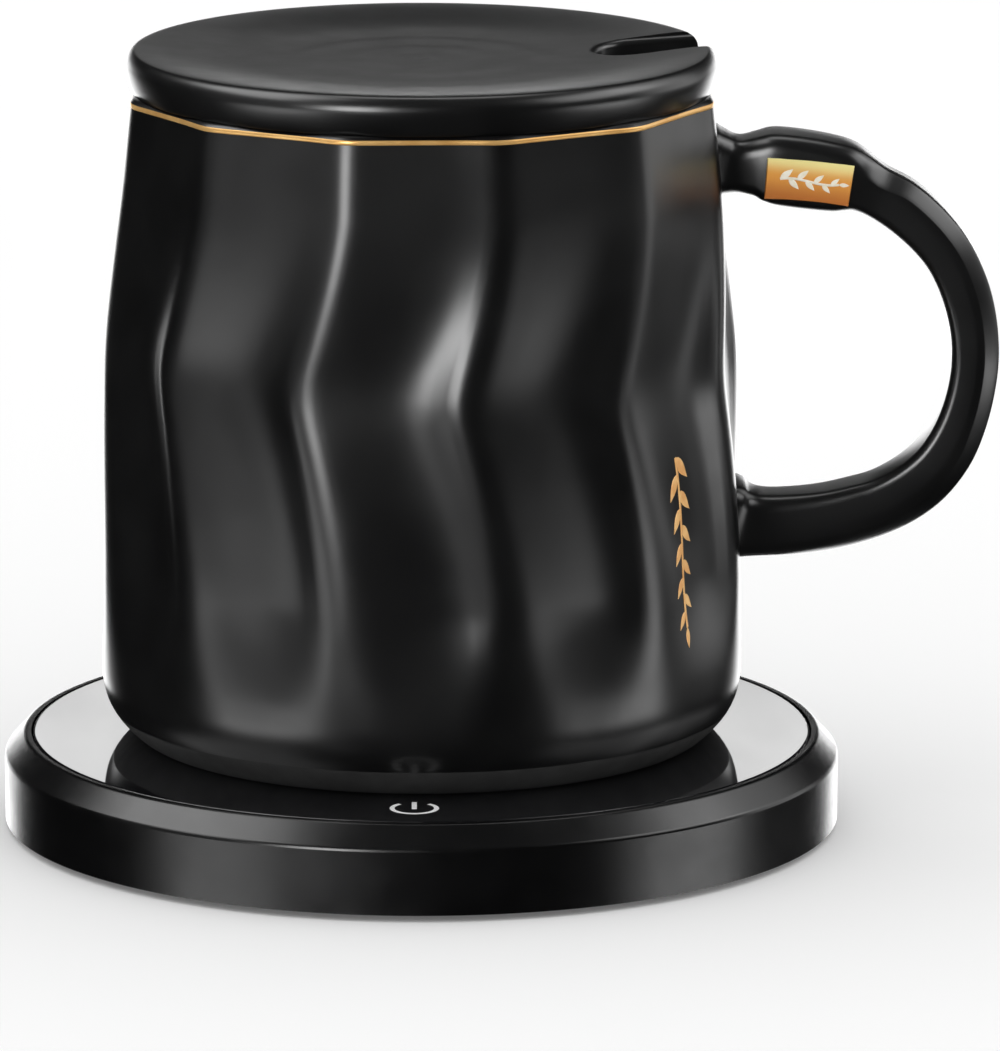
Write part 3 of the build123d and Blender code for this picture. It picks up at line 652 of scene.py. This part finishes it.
handle_rows = eased_between(handle_stations, 3)
side_share = 0.9
round_corner = 2.0
handle_points = []
handle_faces = []
section_count = 0
for index, (x, z, half_thick, half_wide, corner, roundness, low_corner) in enumerate(handle_rows):
    ahead = handle_rows[min(index + 1, len(handle_rows) - 1)]
    behind = handle_rows[max(index - 1, 0)]
    along = Vector((ahead[0] - behind[0], ahead[1] - behind[1])).normalized()
    outward = Vector((-along.y, along.x))
    upper = [
        (half_thick + out, half_wide + side)
        for out, side in corner_points(corner, corner * side_share, roundness)]
    lower = [
        (-half_thick - out, half_wide + side)
        for out, side in corner_points(low_corner, low_corner, round_corner)]
    section = [(half_thick, 0.0)] + upper + [(0.0, half_wide)] + lower[::-1]
    section += [(-half_thick, 0.0)] + mirrored(lower) + [(0.0, -half_wide)] + mirrored(upper[::-1])
    section_count = len(section)
    for out, side in section:
        handle_points.append((
            (x + outward.x * out) * mm, side * mm, foot + (z + outward.y * out) * mm))
for ring in range(len(handle_rows) - 1):
    for here in range(section_count):
        after = (here + 1) % section_count
        low, high = ring * section_count, (ring + 1) * section_count
        handle_faces.append((low + here, low + after, high + after, high + here))
handle_faces.append(tuple(range(section_count - 1, -1, -1)))
handle_faces.append(tuple(range(len(handle_points) - section_count, len(handle_points))))
handle = new_piece("handle", handle_points, handle_faces)
handle.data.shade_smooth()
handle.data.materials.append(glaze)


def face_outwards(piece):
    """Merges doubles and turns all faces outwards."""
    same_place = 1e-7
    work = bmesh.new()
    work.from_mesh(piece.data)
    bmesh.ops.remove_doubles(work, verts=work.verts, dist=same_place)
    bmesh.ops.recalc_face_normals(work, faces=work.faces)
    work.to_mesh(piece.data)
    work.free()


def joined(piece, other, operation):
    """Adds the other solid to the piece, or cuts it away, and removes it."""
    modifier = piece.modifiers.new("join", "BOOLEAN")
    modifier.operation = operation
    modifier.solver = "EXACT"
    modifier.object = other
    settled(piece)
    bpy.data.objects.remove(other)


face_outwards(handle)
joined(mug, handle, "UNION")
mug.data.shade_smooth()
mug.data.set_sharp_from_angle(angle=math.radians(50))
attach(mug, "mug")
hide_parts("mug_body")


# -------------------- rim line
# A line of liquid gold, brushed round the rim over the glaze and fired on to
# a thin film. It fills a shallow seat, so its edges don't stand out.

gold, gold_tree, gold_shader = new_finish("fired gold lustre", Metallic=0.5)
colour_and_gloss(
    gold_tree, gold_shader, speckle(gold_tree, 5 * mm).ramp(0.3, 0.7),
    (0.72, 0.38, 0.11), (0.9, 0.55, 0.2),
    speckle(gold_tree, 2.5 * mm).ramp(0.25, 0.75, 0.28, 0.34))
raise_grain(gold_tree, gold_shader, speckle(gold_tree, 0.8 * mm), 0.002 * mm)

line_rows = [
    (0.3 * mm, neck_low, True), (0.05 * mm, neck_low, True),
    (-0.02 * mm, neck_low + 0.08 * mm, True), (-0.05 * mm, neck_low + 0.35 * mm, True),
    (-0.02 * mm, neck_high - 0.08 * mm, True), (0.05 * mm, neck_high, True),
    (0.3 * mm, neck_high, True)]
rim_line = faceted("gilt_line", line_rows, gold, closed=True)
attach(rim_line, "mug")
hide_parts("gilt_rim_line")


# -------------------- badge
# A small stamped plate of gold-coloured metal, slightly arched like the arm
# and domed across, glued into a shallow seat on the front of the block.

badge_gold, badge_tree, badge_shader = new_finish("brushed gold plate", Metallic=0.15)
# painted light: a pale painted highlight at the top of the plate, and painted shade, darker and
# redder, over its lower half, which falls with the arm
badge_x, badge_z = 55 * mm, foot + 81.05 * mm
badge_fall = 0.12
badge_split = tree_node(badge_tree, "ShaderNodeSeparateXYZ", {0: own_place(badge_tree)})
here_x, here_z = (Reading(badge_tree, badge_split.outputs[axis]) for axis in "XZ")
badge_rise = here_z + here_x * badge_fall - (badge_z + badge_x * badge_fall)
badge_painted_shade = between(
    badge_tree, badge_rise.ramp(-3.0 * mm, 0.6 * mm), (0.6, 0.19, 0.034), (0.88, 0.38, 0.07))
badge_brush = speckle(badge_tree, 0.12 * mm, 3.0, (30.0, 30.0, 1.0))
# the colour climbs from the painted shade to the painted highlight, pale yellow, at the plate's top
colour_and_gloss(
    badge_tree, badge_shader, badge_rise.ramp(0.2 * mm, 2.8 * mm), badge_painted_shade,
    (1.0, 0.88, 0.36), badge_brush.ramp(0.2, 0.8, 0.28, 0.36))
raise_grain(badge_tree, badge_shader, badge_brush, 0.0006 * mm)

# all in mm: corners in x and level over the foot, depths in y
badge_corners = ((48.6, 78.4), (60.55, 77.3), (61.4, 83.1), (49.05, 84.25))
badge_long = 12.2
badge_high = 5.85
badge_back = -5.35
badge_front = -5.78
badge_dome = 0.22
badge_arch = 0.21
badge_edge = 0.12


def badge_point(u, v, shrink, depth):
    """A point of the plate: u and v run from 0 to 1 along and up it."""
    u = 0.5 + (u - 0.5) * (1 - 2 * shrink / badge_long)
    v = 0.5 + (v - 0.5) * (1 - 2 * shrink / badge_high)
    (ax, az), (bx, bz), (cx, cz), (dx, dz) = badge_corners
    x = (1 - v) * ((1 - u) * ax + u * bx) + v * ((1 - u) * dx + u * cx)
    z = (1 - v) * ((1 - u) * az + u * bz) + v * ((1 - u) * dz + u * cz)
    return x * mm, depth * mm, foot + (z + badge_arch * (1 - (2 * u - 1) ** 2)) * mm


# back, upright edge and domed front, each a grid of points: shrink, depth, domed or not
badge_across, badge_up = 24, 12
badge_grid = bmesh.new()
badge_layers = []
for shrink, depth, domed in (
        (0.0, badge_back, 0), (0.0, badge_front + badge_edge, 0), (badge_edge, badge_front, 1)):
    layer = []
    for row in range(badge_up + 1):
        for column in range(badge_across + 1):
            u, v = column / badge_across, row / badge_up
            dome = domed * badge_dome * (1 - (2 * v - 1) ** 2)
            layer.append(badge_grid.verts.new(badge_point(u, v, shrink, depth - dome)))
    badge_layers.append(layer)
row_size = badge_across + 1
badge_loop = list(range(badge_across))
badge_loop += [badge_across + row * row_size for row in range(badge_up)]
badge_loop += [badge_up * row_size + column for column in range(badge_across, 0, -1)]
badge_loop += [row * row_size for row in range(badge_up, 0, -1)]
for layer, other in zip(badge_layers, badge_layers[1:]):
    for here, after in zip(badge_loop, badge_loop[1:] + badge_loop[:1]):
        badge_grid.faces.new([layer[here], layer[after], other[after], other[here]])
for layer in (badge_layers[0], badge_layers[2]):
    for row in range(badge_up):
        for column in range(badge_across):
            corner = row * row_size + column
            badge_grid.faces.new([
                layer[corner], layer[corner + 1],
                layer[corner + row_size + 1], layer[corner + row_size]])
# the edge uses only the outer points of the middle grid
unused = [point for point in badge_grid.verts if not point.link_faces]
bmesh.ops.delete(badge_grid, geom=unused, context="VERTS")
bmesh.ops.recalc_face_normals(badge_grid, faces=badge_grid.faces)
badge = new_piece("arm_badge")
badge_grid.to_mesh(badge.data)
badge_grid.free()
badge.data.shade_smooth()
badge.data.set_sharp_from_angle(angle=math.radians(35))
badge.data.materials.append(badge_gold)
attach(badge, "mug")
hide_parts("handle_badge")


# -------------------- sprigs
# Two small leaf sprigs: one in gold lustre down the facet by the handle,
# one in cream enamel on the badge. Both are printed on as a thin layer.

# one leaf, 1 long and 1 thick, widest before its middle, its top narrower than its foot
leaf_steps = 6
leaf_half = 0.2
leaf_belly = 0.8
leaf_top = 0.72
leaf_outline = [
    (step / leaf_steps, math.sin(math.pi * (step / leaf_steps) ** leaf_belly) * leaf_half)
    for step in range(leaf_steps + 1)]
leaf_ring = leaf_outline + [(x, -y) for x, y in leaf_outline[-2:0:-1]]
leaf_points = [(x, y, 0.0) for x, y in leaf_ring] + [(x, y * leaf_top, 1.0) for x, y in leaf_ring]
ring_size = len(leaf_ring)
leaf_faces = [tuple(range(ring_size - 1, -1, -1))]
for here in range(ring_size):
    after = (here + 1) % ring_size
    leaf_faces.append((here, after, ring_size + after, ring_size + here))
leaf_faces.append(tuple(range(ring_size, 2 * ring_size)))

sprig_sizes = {
    "Length": ("NodeSocketFloat", 27 * mm),
    "Bend": ("NodeSocketFloat", 1.2 * mm),
    "Leaves": ("NodeSocketInt", 12),
    "Leaf length": ("NodeSocketFloat", 3.6 * mm),
    "Leaf angle": ("NodeSocketFloat", math.radians(42)),
    "Stem width": ("NodeSocketFloat", 0.5 * mm),
    "Layer": ("NodeSocketFloat", 0.06 * mm),
    "Middle": ("NodeSocketVector", (0.0, 0.0, 0.0)),
    "Along": ("NodeSocketVector", (0.0, 0.0, 1.0)),
    "Outward": ("NodeSocketVector", (0.0, -1.0, 0.0)),
    "Surface": ("NodeSocketObject", None),
    "Colour": ("NodeSocketMaterial", None),
}
sprig_tree, given = shape_tree(
    "leaf sprig", "Leaf", {size: kind for size, (kind, value) in sprig_sizes.items()})


def sprig_node(kind, links=None, **settings):
    """A node of the sprigs' tree, and its first outlet."""
    return tree_node(sprig_tree, kind, links, **settings).outputs[0]


def scaled(vector, number):
    """A vector times a number."""
    return sprig_node("ShaderNodeVectorMath", {0: vector, "Scale": number}, operation="SCALE")


def added(vector, other):
    """The sum of two vectors."""
    return sprig_node("ShaderNodeVectorMath", {0: vector, 1: other}, operation="ADD")


# the sprig is laid out flat, its stem along x in an S bend
bend_share = 0.3
half_stem = given["Length"] * 0.5
stem_start = sprig_node("ShaderNodeCombineXYZ", {"X": -half_stem})
stem_end = sprig_node("ShaderNodeCombineXYZ", {"X": half_stem})
stem_bend = sprig_node("ShaderNodeCombineXYZ", {"X": half_stem * -bend_share, "Y": given["Bend"]})
stem_back = sprig_node("ShaderNodeCombineXYZ", {"X": half_stem * bend_share, "Y": -given["Bend"]})
stem_line = sprig_node("GeometryNodeCurvePrimitiveBezierSegment", {
    "Resolution": 28, "Start": stem_start, "Start Handle": stem_bend,
    "End Handle": stem_back, "End": stem_end})

# leaves stand by turns on its two sides and get smaller, and the last points ahead
last_share = 0.6
leaf_places = sprig_node("GeometryNodeCurveToPoints", {
    "Curve": stem_line, "Count": given["Leaves"]}, mode="COUNT")
leaf_number = Reading(sprig_tree, sprig_node("GeometryNodeInputIndex"))
leaf_side = leaf_number.through("MODULO", 2.0) * -2.0 + 1.0
last_leaf = leaf_number.above(given["Leaves"] - 1.5)
leaf_turn = sprig_node("ShaderNodeCombineXYZ", {
    "Z": leaf_side * given["Leaf angle"] * last_leaf.taken_from(1.0)})
leaf_share = (leaf_number / given["Leaves"]).taken_from(1.0) * (1.0 - last_share) + last_share
leaf_size = leaf_share * given["Leaf length"]
leaf_scale = sprig_node("ShaderNodeCombineXYZ", {
    "X": leaf_size, "Y": leaf_size, "Z": given["Layer"]})
leaves = sprig_node("GeometryNodeInstanceOnPoints", {
    "Points": leaf_places, "Instance": given["Leaf"], "Rotation": leaf_turn, "Scale": leaf_scale})
stem_corners = sprig_node("GeometryNodeCurvePrimitiveQuadrilateral", {
    "Width": given["Stem width"], "Height": given["Layer"] * 1.6})
stem = sprig_node("GeometryNodeCurveToMesh", {
    "Curve": stem_line, "Profile Curve": stem_corners, "Fill Caps": True})
flat_sprig = sprig_tree.nodes.new("GeometryNodeJoinGeometry")
realized_leaves = sprig_node("GeometryNodeRealizeInstances", {"Geometry": leaves})
sprig_tree.links.new(realized_leaves, flat_sprig.inputs[0])
sprig_tree.links.new(stem, flat_sprig.inputs[0])

# each point is carried out before the surface, then dropped on it
ray_length = 50 * mm
flat = tree_node(sprig_tree, "ShaderNodeSeparateXYZ", {0: sprig_node("GeometryNodeInputPosition")})
along, outward = given["Along"], given["Outward"]
across = sprig_node("ShaderNodeVectorMath", {0: outward, 1: along}, operation="CROSS_PRODUCT")
placed = added(given["Middle"], scaled(along, flat.outputs["X"]))
placed = added(placed, scaled(across, flat.outputs["Y"]))
surface = tree_node(
    sprig_tree, "GeometryNodeObjectInfo", {"Object": given["Surface"]}, transform_space="RELATIVE")
touch = tree_node(sprig_tree, "GeometryNodeRaycast", {
    "Target Geometry": surface.outputs["Geometry"], "Source Position": placed,
    "Ray Direction": scaled(outward, -1.0), "Ray Length": ray_length})
raised = added(touch.outputs["Hit Position"], scaled(outward, flat.outputs["Z"]))
wrapped = sprig_node("GeometryNodeSetPosition", {
    "Geometry": flat_sprig.outputs[0], "Position": raised})
sprig_whole = sprig_node("GeometryNodeRealizeInstances", {"Geometry": wrapped})
sprig_colour = sprig_node("GeometryNodeSetMaterial", {
    "Geometry": sprig_whole, "Material": given["Colour"]})
tree_node(sprig_tree, "NodeGroupOutput", {"Mesh": sprig_colour})


def sprig(name, slot, **sizes):
    """Prints one leaf sprig on a surface."""
    piece = new_piece(name, leaf_points, leaf_faces)
    values = {size: value for size, (kind, value) in sprig_sizes.items() if value is not None}
    values.update({size.replace("_", " "): value for size, value in sizes.items()})
    shaped(piece, sprig_tree, values)
    face_outwards(piece)
    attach(piece, "mug")


print_gold = plain_finish(
    "printed gold lustre", (0.84, 0.42, 0.14), (0.98, 0.6, 0.24), patch=2 * mm, rough=(0.3, 0.42),
    grain=0.2 * mm, depth=0.002 * mm, Metallic=0.2)
enamel_cream = plain_finish(
    "cream enamel", (0.86, 0.78, 0.6), (0.95, 0.9, 0.78), patch=1 * mm, rough=(0.28, 0.4),
    grain=0.2 * mm, depth=0.003 * mm)
facet_turn = math.radians(-35.2)
facet_lean = 0.05
facet_outward = Vector((math.cos(facet_turn), math.sin(facet_turn), 0.0))
facet_along = Vector((
    -math.sin(facet_turn) * facet_lean, math.cos(facet_turn) * facet_lean, -1.0)).normalized()
sprig(
    "wall_sprig", "gilding", Length=24.5 * mm, Leaves=11, Leaf_length=4.7 * mm,
    Stem_width=0.6 * mm, Middle=facet_outward * 60 * mm + Vector((0.0, 0.0, foot + 32.9 * mm)),
    Along=facet_along, Outward=facet_outward, Surface=mug, Colour=print_gold)
plate_fall = math.radians(6)
sprig(
    "badge_sprig", "gilding", Length=8.4 * mm, Bend=0.8 * mm, Leaves=8, Leaf_length=2.3 * mm,
    Stem_width=0.36 * mm, Layer=0.035 * mm, Middle=Vector((55 * mm, -20 * mm, foot + 80.9 * mm)),
    Along=Vector((math.cos(plate_fall), 0.0, -math.sin(plate_fall))),
    Outward=Vector((0.0, -1.0, 0.0)), Surface=badge, Colour=enamel_cream)


# -------------------- lid
# Pressed from the same stoneware with the same glaze: a shallow dish with a
# raised rounded rim, a skirt that drops into the mug, and a slot for a spoon.

rim_top = foot + mug_high


def arch(start, end, start_way, end_way, steps):
    """Points on a smooth line that leaves and meets its ends in the given ways."""
    points = []
    for step in range(steps):
        s = step / steps
        points.append(tuple(
            (2 * s ** 3 - 3 * s * s + 1) * a + (s ** 3 - 2 * s * s + s) * u
            + (3 * s * s - 2 * s ** 3) * b + (s ** 3 - s * s) * v
            for a, b, u, v in zip(start, end, start_way, end_way)))
    return points


# in mm, level over the rim: the underside with its skirt, up to the outer edge
lid_outline = [
    (0.0, 0.6), (33.0, 0.6), (33.5, 0.5), (33.6, 0.2), (33.6, -5.5), (33.75, -5.85), (34.1, -6.0),
    (35.7, -6.0), (36.05, -5.85), (36.2, -5.5), (36.2, -0.4), (36.35, -0.1), (36.7, 0.0),
    (39.6, 0.0)]
# the side, the rolled edge, and from the crest down into the dish
crest, crest_level = 40.6, 5.55
dish, dish_level = 23.5, 4.2
lid_outline += arch((41.2, 0.0), (42.1, 3.5), (1.0, 0.3), (0.0, 3.0), 7)
lid_outline += arch((42.1, 3.5), (crest, crest_level), (0.0, 2.4), (-2.2, 0.1), 9)
lid_top_start = len(lid_outline)
lid_outline += arch((crest, crest_level), (dish, dish_level), (-8.0, 0.3), (-15.0, -0.25), 12)
# the dish is slightly hollow and has faint rings from the turning
dish_sag = 0.11
ring_depth = 0.05
ring_width = 7.2
for radius in (dish, 22.0, 20.5, 19.0, 17.5, 16.0, 14.5, 13.0,
               11.5, 10.0, 8.5, 7.0, 5.5, 4.0, 3.0, 2.2):
    ripple = ring_depth * math.cos(2 * math.pi * (radius - dish) / ring_width) - ring_depth
    lid_outline.append((radius, dish_level - dish_sag * (1 - (radius / dish) ** 2) + ripple))
lid_outline += [(1.4, 4.06), (0.8, 4.09), (0.4, 4.12), (0.0, 4.13)]
lid_outline = [(radius * mm, rim_top + height * mm) for radius, height in lid_outline]
lid = turned("spoon_lid", lid_outline, [step * 1.5 for step in range(240)])[0]
lid.data.materials.append(glaze)


def lid_level(radius):
    """Height of the lid's top at this radius; past the crest, just over it."""
    top = lid_outline[lid_top_start:]
    if radius > top[0][0]:
        return rim_top + 5.6 * mm
    for (outer, outer_level), (inner, inner_level) in zip(top, top[1:]):
        if inner <= radius <= outer:
            part = (outer - radius) / (outer - inner)
            return outer_level + (inner_level - outer_level) * part
    return top[-1][1]


# the slot: a straight-sided cut from the edge inwards with a round end
slot_turn = math.radians(12)
slot_half = 5.5 * mm
slot_centre = 31 * mm
edge_round = 1.0 * mm
past_edge = 50 * mm
past_lid = 9 * mm
slot_edge = [(past_edge, -slot_half)]
slot_ways = [(0.0, -1.0)]
for turn in range(-90, -271, -9):
    way_x, way_y = math.cos(math.radians(turn)), math.sin(math.radians(turn))
    slot_edge.append((slot_centre + slot_half * way_x, slot_half * way_y))
    slot_ways.append((way_x, way_y))
slot_edge.append((past_edge, slot_half))
slot_ways.append((0.0, 1.0))


def slot_layer(spread, level_at):
    """The cut's outline, spread outwards, each point at the level its radius asks for."""
    for (x, y), (way_x, way_y) in zip(slot_edge, slot_ways):
        wide_x, wide_y = x + way_x * spread, y + way_y * spread
        yield wide_x, wide_y, level_at(math.hypot(wide_x, wide_y))


# it widens in a rounded edge where it meets the lid's top
slot_points = list(slot_layer(0.0, lambda radius: rim_top - past_lid))
round_turns = (90, 75, 60, 45, 30, 15, 0)
for turn in round_turns:
    spread = edge_round * (1 - math.sin(math.radians(turn)))
    drop = edge_round * (1 - math.cos(math.radians(turn)))
    slot_points += slot_layer(spread, lambda radius: lid_level(radius) - drop)
slot_points += slot_layer(edge_round, lambda radius: rim_top + past_lid)
slot_size = len(slot_edge)
slot_faces = []
for low in range(0, len(slot_points) - slot_size, slot_size):
    for here in range(slot_size):
        after = (here + 1) % slot_size
        slot_faces.append((
            low + here, low + after, low + slot_size + after, low + slot_size + here))
slot_faces.append(tuple(range(slot_size - 1, -1, -1)))
slot_faces.append(tuple(range(len(slot_points) - slot_size, len(slot_points))))
slot_points = [
    (x * math.cos(slot_turn) - y * math.sin(slot_turn),
     x * math.sin(slot_turn) + y * math.cos(slot_turn), z)
    for x, y, z in slot_points]
slot_cutter = new_piece("slot", slot_points, slot_faces)
face_outwards(slot_cutter)
joined(lid, slot_cutter, "DIFFERENCE")
lid.data.shade_smooth()
lid.data.set_sharp_from_angle(angle=math.radians(40))
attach(lid, "lid")
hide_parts("lid")


# -------------------- floor and light
# A white sheet lies on a table in a plain white room. Soft boxes stand at
# both sides, in front and behind, and show only in what is glossy.

half = 6
floor = new_piece(
    "floor", [(-half, -half, 0), (half, -half, 0), (half, half, 0), (-half, half, 0)],
    [(0, 1, 2, 3)])
floor_white, floor_tree, floor_shader = new_finish(
    "white sheet", Roughness=1.0, Specular_IOR_Level=0.0, Emission_Color=(1.0, 1.0, 1.0, 1.0))
floor_tone = speckle(floor_tree, 0.4, 2.0).ramp(0.3, 0.7)
floor_tree.links.new(
    between(floor_tree, floor_tone, (0.92, 0.92, 0.92), (0.94, 0.94, 0.94)),
    floor_shader.inputs["Base Color"])
sheet_glow = 0.08
floor_ray = floor_tree.nodes.new("ShaderNodeLightPath")
floor_glow = Reading(floor_tree, floor_ray.outputs["Is Camera Ray"]) * sheet_glow
floor_tree.links.new(floor_glow.socket, floor_shader.inputs["Emission Strength"])
floor.data.materials.append(floor_white)
floor.visible_glossy = False
floor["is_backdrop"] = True

# bearing is 0 to the front and grows to the right, climb is 0 at the level and 90 above
world = bpy.data.worlds.new("white room")
bpy.context.scene.world = world
world.use_nodes = True
room = world.node_tree
room_light = room.nodes["Background"]
room_place = room.nodes.new("ShaderNodeTexCoord")
room_way = tree_node(room, "ShaderNodeSeparateXYZ", {0: room_place.outputs["Generated"]})
way_x, way_y, way_z = (Reading(room, room_way.outputs[axis]) for axis in "XYZ")
degrees = 180 / math.pi
bearing = way_x.through("ARCTAN2", -way_y) * degrees
climb = way_z.through("ARCSINE") * degrees


def window(value, low, high, soft):
    """1 between low and high and 0 outside, with soft edges."""
    return value.ramp(low - soft, low + soft) * value.ramp(high - soft, high + soft, 1.0, 0.0)


# behind: a thin strip of light above the table, and the white of the sheet below it
away_behind = bearing.through("ABSOLUTE")
studio = away_behind.ramp(170.0, 175.0) * window(climb, 12.8, 14.6, 0.7) * 1.5
studio = studio + away_behind.ramp(146.0, 158.0) * window(climb, -80.0, 1.8, 2.6) * 3.2
# soft boxes: bearing from, to and edge, climb from, to and edge, strength
soft_boxes = (
    (-74.0, -41.0, 8.0, -24.0, -12.0, 3.0, 3.3),
    (-90.0, -44.0, 8.0, -4.0, 50.0, 5.0, 0.25),
    (-36.0, -18.0, 4.0, -3.0, 28.0, 5.0, 13.0),
    (-125.0, -62.0, 7.0, 36.0, 69.0, 5.0, 4.4),
    (62.0, 96.0, 9.0, -20.0, -12.0, 3.0, 4.4),
    (96.0, 134.0, 7.0, -8.0, 50.0, 5.0, 1.2),
    (60.0, 112.0, 6.0, 24.0, 50.0, 5.0, 3.2),
)
for left, right, side_edge, bottom, top, end_edge, power in soft_boxes:
    box = window(bearing, left, right, side_edge) * window(climb, bottom, top, end_edge)
    studio = studio + box * power
# overhead: a box a little behind the middle, and a dim ceiling
overhead = window(way_x, -0.28, 0.28, 0.1) * window(way_y, 0.1, 0.42, 0.05) * way_z.above(0.5)
studio = studio + overhead * 2.6 + climb.ramp(30.0, 60.0) * 0.06 + 0.012
# glossy rays see the boxes, all others a plain room, and the camera sees white
rays = room.nodes.new("ShaderNodeLightPath")
from_camera, through_clear, from_gloss = (
    Reading(room, rays.outputs[kind])
    for kind in ("Is Camera Ray", "Is Transmission Ray", "Is Glossy Ray"))
strength = studio * from_gloss + from_gloss.taken_from(1.0)
strength = strength + strength.taken_from(1.0) * from_camera.most(through_clear)
room.links.new(strength.socket, room_light.inputs["Strength"])
room_light.inputs["Color"].default_value = (1.0, 1.0, 1.0, 1.0)


# -------------------- camera
# A long lens stands 1.34 m before the warmer and looks a little down on it.
# It is turned a little aside, so that the handle is in the frame as well.

camera_place = Vector((0.0, -1.31132, 0.33031))
look_at = Vector((0.0, 0.0, 60 * mm))
aim = (look_at - camera_place).to_track_quat("-Z", "Y")
# in pixels: the focal length, the frame, and where in it the point looked at lies
focal = 9353.7
frame_wide, frame_high = 1000, 1051
look_column, look_row = 421.48, 410.25
aside, down = frame_wide / 2 - look_column, frame_high / 2 - look_row
off_axis = Vector((0.0, 0.0, -1.0)).rotation_difference(Vector((aside, -down, -focal)))
sensor = 36.0
camera_data = bpy.data.cameras.new("view")
camera_data.sensor_width = sensor
camera_data.lens = focal * sensor / frame_high
camera_data.clip_end = 50.0
camera = bpy.data.objects.new("view", camera_data)
camera.location = camera_place
camera.rotation_mode = "QUATERNION"
camera.rotation_quaternion = aim @ off_axis
bpy.context.scene.collection.objects.link(camera)
bpy.context.scene.camera = camera
bpy.context.scene.view_settings.view_transform = "Standard"


# -------------------- size
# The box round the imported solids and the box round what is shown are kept
# side by side, so that the two can be compared.

bpy.context.view_layer.update()
low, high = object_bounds()
{"cad": [list(cad_low), list(cad_high)], "visual": [list(low), list(high)]}
